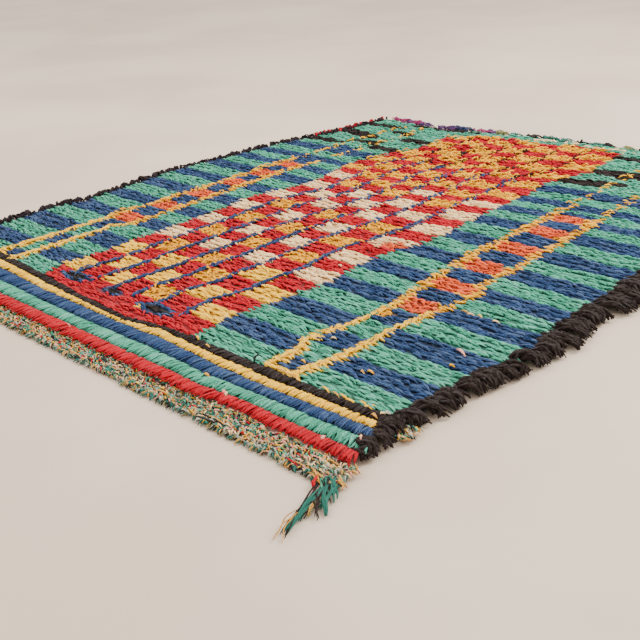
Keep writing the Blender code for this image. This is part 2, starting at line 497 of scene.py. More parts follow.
@dataclass(frozen=True)
class FarBar:
    """One short bar of colour at the far end of a side panel.

    Attributes:
        yarn: its yarn.
        left: how far across the rug it starts.
        right: how far across it ends.
        start: where along the rug its left end lies.
        end: where along the rug its right end lies.
        depth: how wide it is.
        blunt: how blunt its ends are. They are points at 1.
    """

    yarn: Yarn
    left: float
    right: float
    start: float
    end: float
    depth: float
    blunt: float = 1.25

    def covers(self, across: np.ndarray, along: np.ndarray) -> np.ndarray:
        """Says which places it covers.

        Args:
            across: places across the rug.
            along: places along it.

        Returns:
            True for each place that it covers.
        """
        share = (across - self.left) / (self.right - self.left)
        middle = self.start + (self.end - self.start) * share
        half = self.depth / 2 * np.sqrt(np.clip(self.blunt - (2 * share - 1) ** 2, 0.0, 1.0))
        return (share > 0) & (share < 1) & (np.abs(along - middle) < half)


@dataclass(frozen=True)
class Spot:
    """One small oval patch of another yarn.

    Attributes:
        yarn: its yarn.
        across: where its middle lies across the rug.
        along: where its middle lies along the rug.
        half_width: half its width.
        half_depth: half its depth.
    """

    yarn: Yarn
    across: float
    along: float
    half_width: float
    half_depth: float

    def covers(self, across: np.ndarray, along: np.ndarray) -> np.ndarray:
        """Says which places it covers."""
        off_across = (across - self.across) / self.half_width
        return np.hypot(off_across, (along - self.along) / self.half_depth) < 1.0


@dataclass
class RugPlan:
    """The weaver's chart: the rug's outline, its rows and which yarn goes where.

    Attributes:
        left: the left selvedge.
        right: the right selvedge.
        far: the far end.
        bands: where each band of colour starts.
        stripe_yarns: the front stripes' yarns, from the front.
        stripe_lines: the lines between them.
        check_left: the left side of the field of checks.
        check_right: its right side.
        check_far: its far end.
        column_shares: where its columns start, as shares of its width.
        yellow_to: the last band with yellow checks.
        cream_band: a band whose light checks are all cream.
        mixed_from: the band where every second column turns orange.
        orange_check: the column and the band of one more orange check.
        orange_from: the band where all the light checks turn orange.
        gold_checks: the columns and bands of single gold checks.
        left_ladder: the left panel's ladder.
        right_ladder: the right panel's ladder.
        far_from: where the left and the right panel's plain far part starts.
        far_bars: the short bars there, and a pale one behind the checks.
        spots: small patches.
        right_lead: how far the rows run ahead on the right.
        lead_along: where along the rug that starts.
        lead_across: where across the rug it starts.
        lead_run: how far on it is full.
    """

    left: Outline = Outline(
        (-0.03, 0.25, 0.36, 0.47, 0.60, 0.78, 0.92, 1.10, 1.32, 1.52),
        (0.008, 0.005, -0.006, 0.011, -0.008, -0.024, -0.009, 0.004, 0.050, 0.069),
    )
    right: Outline = Outline(
        (-0.03, 0.02, 0.07, 0.15, 0.33, 0.43, 0.49, 0.70, 1.00, 1.30, 1.62),
        (1.306, 1.302, 1.288, 1.289, 1.305, 1.319, 1.301, 1.300, 1.306, 1.298, 1.304),
    )
    far: Outline = Outline(
        (0.05, 0.29, 0.47, 0.65, 0.87, 1.15, 1.31),
        (1.504, 1.495, 1.534, 1.554, 1.568, 1.592, 1.600),
    )
    bands: tuple[float, ...] = (
        0.125, 0.185, 0.240, 0.297, 0.360, 0.422, 0.478, 0.531, 0.584, 0.639, 0.697, 0.750, 0.800, 0.853,
        0.906, 0.950, 0.990, 1.030, 1.070, 1.120, 1.170, 1.215, 1.260, 1.315, 1.370, 1.415, 1.460, 1.505,
        1.560, 1.610,
    )
    stripe_yarns: tuple[Yarn, ...] = (Yarn.RED, Yarn.GREEN, Yarn.BLUE, Yarn.YELLOW, Yarn.BLACK)
    stripe_lines: tuple[Outline, ...] = (
        Outline((0.0, 0.50, 0.99, 1.03, 1.066, 1.31), (-0.004, -0.006, -0.003, 0.001, 0.007, 0.009)),
        Outline((0.0, 1.00, 1.084, 1.24, 1.31), (0.022, 0.022, 0.030, 0.032, 0.035)),
        Outline(
            (0.0, 0.39, 0.50, 0.64, 0.76, 0.86, 0.97, 1.056, 1.138, 1.215, 1.31),
            (0.055, 0.055, 0.051, 0.051, 0.053, 0.055, 0.051, 0.055, 0.058, 0.060, 0.065),
        ),
        Outline(
            (0.0, 0.33, 0.45, 0.59, 0.71, 0.82, 0.93, 1.03, 1.11, 1.19, 1.26, 1.31),
            (0.092, 0.092, 0.083, 0.083, 0.082, 0.088, 0.082, 0.080, 0.081, 0.086, 0.088, 0.090),
        ),
        Outline(
            (0.0, 0.244, 0.33, 0.42, 0.575, 0.707, 0.79, 0.91, 1.09, 1.17, 1.31),
            (0.117, 0.115, 0.110, 0.103, 0.092, 0.087, 0.107, 0.100, 0.100, 0.105, 0.104),
        ),
        Outline(
            (0.0, 0.20, 0.38, 0.55, 0.685, 0.78, 0.90, 1.20, 1.31),
            (0.140, 0.140, 0.126, 0.111, 0.102, 0.118, 0.124, 0.124, 0.138),
        ),
    )
    check_left: Outline = Outline(
        (0.125, 0.187, 0.26, 0.38, 0.49, 0.56, 0.68, 0.724, 0.88, 1.015, 1.095, 1.21, 1.29, 1.46),
        (0.389, 0.362, 0.371, 0.359, 0.354, 0.355, 0.340, 0.333, 0.370, 0.343, 0.322, 0.356, 0.378, 0.368),
    )
    check_right: Outline = Outline(
        (0.18, 0.25, 0.32, 0.38, 0.44, 0.53, 0.60, 0.66, 0.756, 0.93, 1.10, 1.19, 1.32, 1.41, 1.54),
        (
            0.848, 0.834, 0.856, 0.851, 0.861, 0.847, 0.843, 0.859, 0.871, 0.855, 0.852, 0.835, 0.876, 0.860,
            0.847,
        ),
    )
    check_far: Outline = Outline(
        (0.383, 0.453, 0.536, 0.617, 0.689, 0.771, 0.847),
        (1.430, 1.489, 1.496, 1.493, 1.517, 1.528, 1.517),
    )
    column_shares: tuple[float, ...] = (0.0, 0.141, 0.275, 0.408, 0.536, 0.677, 0.833, 1.0)
    yellow_to: int = 4
    cream_band: int = 12
    mixed_from: int = 14
    orange_check: tuple[int, int] = (2, 15)
    orange_from: int = 17
    gold_checks: tuple[tuple[int, int], ...] = ((4, 1), (4, 3), (3, 4), (1, 4))
    left_ladder: Ladder = Ladder(
        outer=Outline((0.13, 0.40, 0.47, 0.55, 0.90, 1.36), (0.186, 0.186, 0.173, 0.178, 0.165, 0.176)),
        inner=Outline(
            (0.13, 0.36, 0.39, 0.41, 0.54, 0.90, 1.36), (0.252, 0.249, 0.238, 0.267, 0.261, 0.236, 0.255)
        ),
    )
    right_ladder: Ladder = Ladder(
        outer=Outline(
            (0.13, 0.21, 0.23, 0.27, 0.33, 0.43, 0.54, 0.69, 0.85, 1.08, 1.25),
            (1.030, 1.024, 1.011, 1.013, 1.028, 1.028, 1.007, 0.988, 0.979, 0.975, 0.962),
        ),
        inner=Outline(
            (0.13, 0.21, 0.26, 0.35, 0.44, 0.56, 0.61, 0.67, 0.85, 1.08, 1.25),
            (1.082, 1.092, 1.100, 1.093, 1.104, 1.111, 1.091, 1.094, 1.085, 1.070, 1.055),
        ),
    )
    far_from: tuple[float, float] = (1.165, 1.215)
    far_bars: tuple[FarBar, ...] = (
        FarBar(Yarn.BLACK, -0.03, 0.155, 1.218, 1.220, 0.036),
        FarBar(Yarn.BLUE, 0.165, 0.255, 1.184, 1.170, 0.030),
        FarBar(Yarn.BLACK, 0.035, 0.210, 1.342, 1.310, 0.046),
        FarBar(Yarn.BLACK, 0.165, 0.262, 1.262, 1.266, 0.028),
        FarBar(Yarn.BLACK, 0.245, 0.370, 1.230, 1.222, 0.036),
        FarBar(Yarn.BLACK, 0.270, 0.380, 1.336, 1.328, 0.044),
        FarBar(Yarn.BLACK, 0.188, 0.275, 1.392, 1.385, 0.028),
        FarBar(Yarn.BLACK, 0.050, 0.195, 1.436, 1.439, 0.030),
        FarBar(Yarn.BLACK, 0.198, 0.420, 1.478, 1.500, 0.024),
        FarBar(Yarn.BLACK, 0.840, 1.000, 1.228, 1.272, 0.044),
        FarBar(Yarn.BLACK, 1.060, 1.310, 1.262, 1.290, 0.040),
        FarBar(Yarn.BLACK, 0.865, 1.310, 1.338, 1.400, 0.066),
        FarBar(Yarn.BLACK, 0.850, 1.310, 1.472, 1.520, 0.042),
        FarBar(Yarn.CREAM, 0.570, 0.900, 1.528, 1.546, 0.008),
    )
    spots: tuple[Spot, ...] = (
        Spot(Yarn.BLUE, 0.448, 0.163, 0.046, 0.018),
        Spot(Yarn.BLACK, 0.444, 0.165, 0.032, 0.011),
        Spot(Yarn.BLUE, 0.574, 0.162, 0.032, 0.011),
        Spot(Yarn.BLACK, 0.574, 0.162, 0.020, 0.007),
        Spot(Yarn.BLUE, 0.706, 0.160, 0.052, 0.019),
        Spot(Yarn.BLACK, 0.712, 0.163, 0.034, 0.010),
        Spot(Yarn.YELLOW, 0.668, 0.151, 0.010, 0.005),
        Spot(Yarn.SALMON, 0.832, 0.655, 0.028, 0.018),
        Spot(Yarn.GOLD, 1.036, 0.393, 0.018, 0.017),
    )
    right_lead: float = 0.020
    lead_along: float = 0.72
    lead_across: float = 0.78
    lead_run: float = 0.15

    def lead(self, across: np.ndarray, along: np.ndarray) -> np.ndarray:
        """Says how far the rows run ahead on the right, where the weaver beat them less.

        Args:
            across: places across the rug.
            along: places along it.

        Returns:
            The lead at each place.
        """
        rise = np.clip((along - self.lead_along) / self.lead_run, 0, 1)
        side = np.clip((across - self.lead_across) / self.lead_run, 0, 1)
        return self.right_lead * rise * side

    def stripe_end(self, stripe: int, across: np.ndarray) -> np.ndarray:
        """Says where along the rug a front stripe ends, at places across it."""
        return self.stripe_lines[stripe + 1].at(across)

    def band_of(self, across: np.ndarray, along: np.ndarray) -> np.ndarray:
        """Numbers the band that each place lies in, from 0 at the front."""
        return np.searchsorted(self.bands, along - self.lead(across, along)) - 1

    def panel_yarns(self, across: np.ndarray, along: np.ndarray,
                    pick: np.random.Generator) -> np.ndarray:
        """Charts the side panels.

        Args:
            across: places across the rug.
            along: places along it.
            pick: the source of chance.

        Returns:
            The yarn's code at each place.
        """
        band = self.band_of(across, along)
        even = band % 2 == 0
        yarns = np.where(even, CODE[Yarn.GREEN], CODE[Yarn.BLUE])
        on_left = across < MIDDLE_ACROSS
        yarns[along > np.where(on_left, *self.far_from)] = CODE[Yarn.GREEN]
        for bar in self.far_bars:
            yarns[bar.covers(across, along)] = CODE[bar.yarn]
        for ladder, side in ((self.left_ladder, on_left), (self.right_ladder, ~on_left)):
            self.chart_ladder(yarns, ladder, side, across, along, pick)
        return yarns

    def chart_ladder(self, yarns: np.ndarray, ladder: Ladder, side: np.ndarray, across: np.ndarray,
                     along: np.ndarray, pick: np.random.Generator) -> None:
        """Charts one ladder over a panel's bands.

        Args:
            yarns: the codes so far, which this changes.
            ladder: the ladder.
            side: which places are on its side of the rug.
            across: places across the rug.
            along: places along it.
            pick: the source of chance.
        """
        band = self.band_of(across, along)
        even = band % 2 == 0
        outer, inner = ladder.outer.at(along), ladder.inner.at(along)
        between = side & (across > outer) & (across < inner)
        yarns[between & even & (along < ladder.ends)] = CODE[Yarn.BLUE]
        yarns[between & ~even & (along < ladder.diamonds_from)] = CODE[Yarn.GREEN]
        diamond = between & ~even & (along > ladder.diamonds_from) & (along < ladder.ends)
        starts, ends = np.array(self.bands)[:-1], np.array(self.bands)[1:]
        place = np.clip(band, 0, len(starts) - 1)
        middle = (starts[place] + ends[place]) / 2 + self.lead(across, along)
        height = (ends - starts)[place] / 2
        off_centre = np.abs(across - (outer + inner) / 2) / ((inner - outer) / 2)
        off_middle = np.abs(along - middle) / height
        yarns[diamond] = CODE[Yarn.ORANGE]
        from_heart = off_centre * ladder.heart[0] + off_middle * ladder.heart[1]
        yarns[diamond & (from_heart < ladder.heart_size)] = CODE[Yarn.SALMON]
        yarns[diamond & (off_centre + off_middle * ladder.notch > ladder.notch_size)] = CODE[Yarn.GREEN]
        for line in (outer, inner):
            near = np.abs(across - line) < ladder.width.at(along) / 2
            on_line = side & near & (along < ladder.ends)
            shows = pick.random(len(across)) < ladder.speck_share
            marked = on_line | (side & near & (along < ladder.specks_to) & shows)
            before = along[marked] < ladder.diamonds_from
            yarns[marked] = np.where(before, CODE[Yarn.YELLOW], CODE[Yarn.ORANGE])
        yarns[between & (along < ladder.foot)] = CODE[Yarn.YELLOW]

    def light_yarn(self, column: np.ndarray, band: np.ndarray) -> np.ndarray:
        """Charts the light checks of the middle field.

        Args:
            column: each place's column, from 0 at the left.
            band: each place's band, from 0 at the front.

        Returns:
            The yarn's code at each place.
        """
        even_column = column % 2 == 0
        yarns = np.where(even_column, CODE[Yarn.CREAM], CODE[Yarn.GOLD])
        yarns[~even_column & (band == self.cream_band)] = CODE[Yarn.CREAM]
        yarns[~even_column & (band >= self.mixed_from)] = CODE[Yarn.ORANGE]
        yarns[(column == self.orange_check[0]) & (band == self.orange_check[1])] = CODE[Yarn.ORANGE]
        yarns[band >= self.orange_from] = CODE[Yarn.ORANGE]
        yarns[band <= self.yellow_to] = CODE[Yarn.YELLOW]
        for gold_column, gold_band in self.gold_checks:
            yarns[(column == gold_column) & (band == gold_band)] = CODE[Yarn.GOLD]
        return yarns

    def check_yarns(self, across: np.ndarray, along: np.ndarray) -> np.ndarray:
        """Charts the middle field of checks.

        Args:
            across: places across the rug.
            along: places along it.

        Returns:
            The yarn's code at each place.
        """
        left, right = self.check_left.at(along), self.check_right.at(along)
        share = (across - left) / (right - left)
        column = np.clip(np.searchsorted(self.column_shares, share) - 1, 0, len(self.column_shares) - 2)
        band = np.clip(self.band_of(across, along), 0, len(self.bands) - 2)
        red = ((column + band) % 2 == 0) | (band == 0)
        return np.where(red, CODE[Yarn.RED], self.light_yarn(column, band))

    def in_check(self, across: np.ndarray, along: np.ndarray) -> np.ndarray:
        """Says which places lie in the middle field of checks."""
        inside = (across > self.check_left.at(along)) & (across < self.check_right.at(along))
        return inside & (along < self.check_far.at(across))

    def pile_yarns(self, across: np.ndarray, along: np.ndarray,
                   pick: np.random.Generator) -> np.ndarray:
        """Charts all the pile behind the front stripes.

        Args:
            across: places across the rug.
            along: places along it.
            pick: the source of chance.

        Returns:
            The yarn's code at each place.
        """
        checks = self.in_check(across, along)
        yarns = np.where(checks, self.check_yarns(across, along), self.panel_yarns(across, along, pick))
        for spot in self.spots:
            yarns[spot.covers(across, along)] = CODE[spot.yarn]
        return yarns


@dataclass
class Tufts:
    """Many strands at once, one entry of each array for each strand.

    Attributes:
        across: where a strand's middle lies across the rug.
        along: where its middle lies along the rug.
        heading: which way it lies, in radians from straight across towards the far end.
        length: its length.
        thickness: its thickness.
        root: its root's height.
        crest: its highest point.
        tip: its tip's height.
        peak: the share of its length at which it is highest.
        bow: how far it bends sideways, as a share of its length.
        curl: how far it waves.
        tint: its own shade, from 0 to 1.
        yarn: its yarn's code.
    """

    across: np.ndarray
    along: np.ndarray
    heading: np.ndarray
    length: np.ndarray
    thickness: np.ndarray
    root: np.ndarray
    crest: np.ndarray
    tip: np.ndarray
    peak: np.ndarray
    bow: np.ndarray
    curl: np.ndarray
    tint: np.ndarray
    yarn: np.ndarray

    @classmethod
    def even(cls, count: int, **values: object) -> "Tufts":
        """Makes tufts from arrays and single values.

        Args:
            count: how many strands there are.
            values: an array or one number for each attribute.

        Returns:
            The tufts, with an array of that length for each attribute.
        """
        return cls(**{name: np.broadcast_to(value, (count,)).copy() for name, value in values.items()})

    def chosen(self, mask: np.ndarray) -> "Tufts":
        """Keeps only the strands that a mask marks."""
        return Tufts(**{name: values[mask] for name, values in vars(self).items()})

    def count(self) -> int:
        """Counts the strands."""
        return len(self.across)


class Loom:
    """Turns tufts into one mesh: each strand is a copy of a short tube, bent along its own line."""

    def __init__(self, shop: YarnShop, sides: int = 3, segments: int = 4, flat: float = 0.85) -> None:
        """Makes the short tube.

        Args:
            shop: where the yarns' materials come from.
            sides: the tube's sides.
            segments: its lengths between bends.
            flat: its height as a share of its width.
        """
        self.shop = shop
        self.segments = segments
        self.flat = flat
        form = bmesh.new()
        bmesh.ops.create_cone(form, cap_ends=True, cap_tris=False, segments=sides, radius1=1.0,
                              radius2=1.0, depth=1.0)
        bmesh.ops.translate(form, verts=form.verts[:], vec=(0.0, 0.0, 0.5))
        long_edges = [edge for edge in form.edges if abs(edge.verts[0].co.z - edge.verts[1].co.z) > 0.5]
        bmesh.ops.subdivide_edges(form, edges=long_edges, cuts=segments - 1, use_grid_fill=True)
        form.verts.ensure_lookup_table()
        self.ring = np.array([vert.co.to_2d() for vert in form.verts])
        self.station = np.array([round(vert.co.z * segments) for vert in form.verts])
        self.corners = np.array([loop.vert.index for face in form.faces for loop in face.loops])
        sizes = np.array([len(face.loops) for face in form.faces])
        self.starts = np.concatenate(([0], np.cumsum(sizes)[:-1]))
        self.wrap = np.array([place for face in form.faces for place in self.wrapped(face)])
        form.free()

    @staticmethod
    def wrapped(face: bmesh.types.BMFace) -> list[tuple[float, float]]:
        """Places one face's corners on the strand's wrap.

        Args:
            face: a face of the short tube.

        Returns:
            For each corner, how far round the tube it is and how far along it.
        """
        angles = [math.atan2(loop.vert.co.y, loop.vert.co.x) % (2 * math.pi) for loop in face.loops]
        if len(angles) == 4 and max(angles) - min(angles) > math.pi:
            angles = [angle + 2 * math.pi if angle < math.pi else angle for angle in angles]
        return [(angle / (2 * math.pi), loop.vert.co.z) for angle, loop in zip(angles, face.loops)]

    def centre_lines(self, tufts: Tufts, pick: np.random.Generator) -> np.ndarray:
        """Works out where each strand runs.

        Args:
            tufts: the strands.
            pick: the source of chance.

        Returns:
            For each strand, its places from root to tip.
        """
        fewest_waves, most_waves = 0.8, 1.6
        bow_level, lift_share, lift_pace = 0.33, 0.45, 1.3
        share = np.linspace(0.0, 1.0, self.segments + 1)[None, :]
        length = tufts.length[:, None]
        phase = pick.uniform(0, 2 * math.pi, (tufts.count(), 1))
        waves = pick.uniform(fewest_waves, most_waves, (tufts.count(), 1)) * 2 * math.pi
        curl = tufts.curl[:, None] * np.sqrt(share)
        forward = length * (share - 0.5)
        bend = length * tufts.bow[:, None] * (share * share - bow_level)
        aside = bend + curl * np.sin(share * waves + phase)
        peak = tufts.peak[:, None]
        rising = np.sin(np.clip(share / peak, 0, 1) * math.pi / 2)
        falling = np.clip((share - peak) / (1.0 + TINY - peak), 0, 1) ** 2
        height = tufts.root[:, None] + (tufts.crest - tufts.root)[:, None] * rising
        height = height + (tufts.tip - tufts.crest)[:, None] * falling
        height = height + lift_share * curl * np.cos(share * waves * lift_pace + phase)
        cosine, sine = np.cos(tufts.heading)[:, None], np.sin(tufts.heading)[:, None]
        x = tufts.across[:, None] - MIDDLE_ACROSS + forward * cosine - aside * sine
        y = tufts.along[:, None] - MIDDLE_ALONG + forward * sine + aside * cosine
        floor = tufts.thickness[:, None] * self.flat / 2
        return np.stack([x, y, np.maximum(height, floor)], axis=2)

    def tubes(self, tufts: Tufts, lines: np.ndarray, pick: np.random.Generator) -> np.ndarray:
        """Wraps the tube round each strand's line.

        Args:
            tufts: the strands.
            lines: each strand's places from root to tip.
            pick: the source of chance.

        Returns:
            For each strand, the places of its tube's points.
        """
        ahead = np.gradient(lines, axis=1)
        ahead /= np.linalg.norm(ahead, axis=2, keepdims=True)
        side = np.cross(np.array([0.0, 0.0, 1.0]), ahead)
        side /= np.linalg.norm(side, axis=2, keepdims=True)
        above = np.cross(ahead, side)
        share = np.linspace(0.0, 1.0, self.segments + 1)
        thin_end, belly, belly_start, belly_span, bluntness = 0.28, 0.78, 0.12, 0.86, 0.6
        rise = np.sin((share * belly_span + belly_start) * math.pi)
        swell = thin_end + belly * rise ** bluntness
        radius = tufts.thickness[:, None] / 2 * swell[None, :]
        roll = pick.uniform(0, 2 * math.pi, tufts.count())[:, None]
        turned = (
            self.ring[None, :, 0] * np.cos(roll) - self.ring[None, :, 1] * np.sin(roll),
            self.ring[None, :, 0] * np.sin(roll) + self.ring[None, :, 1] * np.cos(roll),
        )
        reach = radius[:, self.station]
        points = lines[:, self.station]
        points = points + side[:, self.station] * (turned[0] * reach)[:, :, None]
        points = points + above[:, self.station] * (turned[1] * reach * self.flat)[:, :, None]
        points[:, :, 2] = np.maximum(points[:, :, 2], 0.0)
        return points

    def weave(self, name: str, tufts: Tufts, yarn: Yarn, seed: int) -> bpy.types.Object:
        """Makes one piece of many strands.

        Args:
            name: the piece's name.
            tufts: its strands.
            yarn: its yarn.
            seed: its seed.

        Returns:
            The piece.
        """
        pick = np.random.default_rng(seed)
        points = self.tubes(tufts, self.centre_lines(tufts, pick), pick)
        count, ring = tufts.count(), len(self.ring)
        corners = (self.corners[None, :] + np.arange(count)[:, None] * ring).ravel()
        starts = (self.starts[None, :] + np.arange(count)[:, None] * len(self.corners)).ravel()
        mesh = bpy.data.meshes.new(name)
        mesh.vertices.add(count * ring)
        mesh.loops.add(len(corners))
        mesh.polygons.add(len(starts))
        mesh.vertices.foreach_set("co", points.astype(np.float32).ravel())
        mesh.loops.foreach_set("vertex_index", corners.astype(np.int32))
        mesh.polygons.foreach_set("loop_start", starts.astype(np.int32))
        mesh.update(calc_edges=True)
        mesh.shade_smooth()
        wraps = np.tile(self.wrap.astype(np.float32), (count, 1))
        mesh.uv_layers.new(name=WRAP).uv.foreach_set("vector", wraps.ravel())
        shades = mesh.attributes.new(TINT, "FLOAT", "POINT")
        shades.data.foreach_set("value", np.repeat(tufts.tint, ring).astype(np.float32))
        mesh.materials.append(self.shop.material(yarn))
        piece = bpy.data.objects.new(name, mesh)
        bpy.context.scene.collection.objects.link(piece)
        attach(piece, BODY)
        log.info("%s: %d strands, %d triangles", name, count, len(mesh.loops) - 2 * len(mesh.polygons))
        return piece

    def weave_by_yarn(self, name: str, tufts: Tufts, seed: int,
                      node: str = "") -> list[bpy.types.Object]:
        """Makes one piece for each yarn that the tufts use.

        Args:
            name: what the pieces' names start with.
            tufts: the strands.
            seed: their seed.
            node: the solid that the pieces stand for, if they do.

        Returns:
            The pieces.
        """
        pieces = []
        for code in np.unique(tufts.yarn):
            yarn = YARNS[code]
            mine = tufts.chosen(tufts.yarn == code)
            pieces.append(self.weave(f"{name}_{yarn.value}", mine, yarn, seed + code))
            if node:
                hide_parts(node)
        return pieces


@dataclass(frozen=True)
class Handle:
    """How a yarn lies in the pile.

    Attributes:
        length: a strand's length.
        thickness: its thickness.
        stray: how far its heading strays, in radians.
        curl: how far it waves.
        rough: how far its height strays.
    """

    length: float
    thickness: float
    stray: float
    curl: float
    rough: float = 0.0007


FIRM = Handle(length=0.031, thickness=0.0056, stray=0.12, curl=0.0004)
SMOOTH = Handle(length=0.029, thickness=0.0066, stray=0.10, curl=0.0003)
CURLY = Handle(length=0.024, thickness=0.0060, stray=0.60, curl=0.0026, rough=0.0018)
HANDLES = {
    Yarn.YELLOW: SMOOTH,
    Yarn.CREAM: SMOOTH,
    Yarn.GOLD: CURLY,
    Yarn.ORANGE: replace(CURLY, stray=0.35, curl=0.0012),
    Yarn.SALMON: replace(FIRM, length=0.024, stray=0.35),
    Yarn.BLUE: replace(FIRM, stray=0.11),
}


@dataclass
class PileField:
    """The knotted rows behind the front stripes: two side panels and the field of checks between them.

    Attributes:
        rows_per_band: rows of knots in one band of colour.
        spacing: the distance from one strand to the next in a row.
        lean: how far the strands turn towards the front, in radians.
        valley: the pile's height between rows.
        crest: its height on a row.
        root: the height that the strands grow from.
        lump: how far the pile swells and sinks.
        wander: how far a row wanders.
        unruly_along: where along the rug the rows start to lie rougher, and where they are roughest.
        unruly: how many times rougher they lie in those places.
        left_margin: how far inside the left selvedge the rows start.
        right_margin: how far inside the right one they end.
        front_gap: how far behind the front stripes they start.
        far_gap: how far before the far end they stop.
        first_depth: how deep the row in front of the first band is.
        scatter: how far a strand strays in its row, as a share of the row's depth.
        droop: how far a strand's tip falls below its crest.
        peak: the share of its length at which it is highest.
        bow: how far it bends sideways, as a share of its length.
        round: how sharply the pile falls beside a row.
        seed: its seed.
    """

    rows_per_band: int = 3
    spacing: float = 0.0038
    lean: float = -0.15
    valley: float = 0.0126
    crest: float = 0.0163
    root: float = 0.0105
    lump: float = 0.0013
    wander: float = 0.0022
    unruly_along: tuple[float, float] = (0.85, 1.25)
    unruly: tuple[float, float] = (1.0, 2.0)
    left_margin: float = 0.012
    right_margin: float = 0.010
    front_gap: float = 0.003
    far_gap: float = 0.004
    first_depth: float = 0.018
    scatter: float = 0.46
    droop: float = 0.0018
    peak: float = 0.75
    bow: float = 0.09
    round: float = 1.3
    seed: int = 21

    def row_places(self, plan: RugPlan) -> list[tuple[float, float]]:
        """Lists the rows.

        Args:
            plan: the rug's chart.

        Returns:
            For each row, where along the rug it lies and how deep it is.
        """
        rows = [(plan.bands[0] - self.first_depth / 2, self.first_depth)]
        for start, end in zip(plan.bands, plan.bands[1:]):
            depth = (end - start) / self.rows_per_band
            rows += [(start + depth * (row + 0.5), depth) for row in range(self.rows_per_band)]
        return rows

    def lay_out(self, plan: RugPlan) -> Tufts:
        """Lays out every strand of the field.

        Args:
            plan: the rug's chart.

        Returns:
            The strands.
        """
        pick = np.random.default_rng(self.seed)
        drift, lumps = Swell(0.11, 31), Swell(0.085, 32)
        across, along, offset, depths = [], [], [], []
        for place, depth in self.row_places(plan):
            left = float(plan.left.at(place)) + self.left_margin
            right = float(plan.right.at(place)) - self.right_margin
            count = int((right - left) / self.spacing)
            row_across = left + (np.arange(count) + pick.uniform(0, 1, count)) * self.spacing
            row_offset = depth * pick.uniform(-self.scatter, self.scatter, count)
            middle = place + plan.lead(row_across, np.full(count, place))
            middle = middle + self.wander * drift.at(row_across, np.full(count, place))
            across.append(row_across)
            along.append(middle + row_offset)
            offset.append(row_offset / depth)
            depths.append(np.full(count, depth))
        across, along = np.concatenate(across), np.concatenate(along)
        offset, depths = np.concatenate(offset), np.concatenate(depths)
        last_stripe = len(plan.stripe_yarns) - 1
        inside = along > plan.stripe_end(last_stripe, across) + self.front_gap
        inside &= along < plan.far.at(across) - self.far_gap
        across, along, offset = across[inside], along[inside], offset[inside]
        count = len(across)
        yarn = plan.pile_yarns(across, along, pick)
        handles = np.array([astuple(HANDLES.get(kind, FIRM)) for kind in YARNS])
        length, thickness, stray, curl, rough = handles[yarn].T
        length = length * pick.normal(1.0, 0.13, count).clip(0.7, 1.35)
        thickness = thickness * pick.uniform(0.85, 1.12, count)
        unruly = np.interp(along, self.unruly_along, self.unruly)
        stray, rough = stray * unruly, rough * unruly
        curl = curl * pick.uniform(0.5, 1.5, count)
        crest = self.valley + (self.crest - self.valley) * np.cos(math.pi * offset) ** self.round
        crest = crest + self.lump * lumps.at(across, along) + rough * pick.normal(0, 1, count)
        return Tufts.even(
            count, across=across, along=along, heading=self.lean + stray * pick.normal(0, 1, count),
            length=length, thickness=thickness, root=self.root, crest=crest, tip=crest - self.droop,
            peak=self.peak, bow=pick.normal(0, self.bow, count), curl=curl, tint=pick.uniform(0, 1, count),
            yarn=yarn,
        )

    def make(self, plan: RugPlan, loom: Loom) -> list[bpy.types.Object]:
        """Makes the field's pieces: each panel's and the checks', one for each yarn.

        Args:
            plan: the rug's chart.
            loom: what makes the strands.

        Returns:
            The pieces.
        """
        tufts = self.lay_out(plan)
        checks = plan.in_check(tufts.across, tufts.along)
        on_left = tufts.across < MIDDLE_ACROSS
        pieces = loom.weave_by_yarn("check_field", tufts.chosen(checks), self.seed)
        pieces += loom.weave_by_yarn("left_panel", tufts.chosen(~checks & on_left), self.seed)
        pieces += loom.weave_by_yarn("right_panel", tufts.chosen(~checks & ~on_left), self.seed)
        return pieces


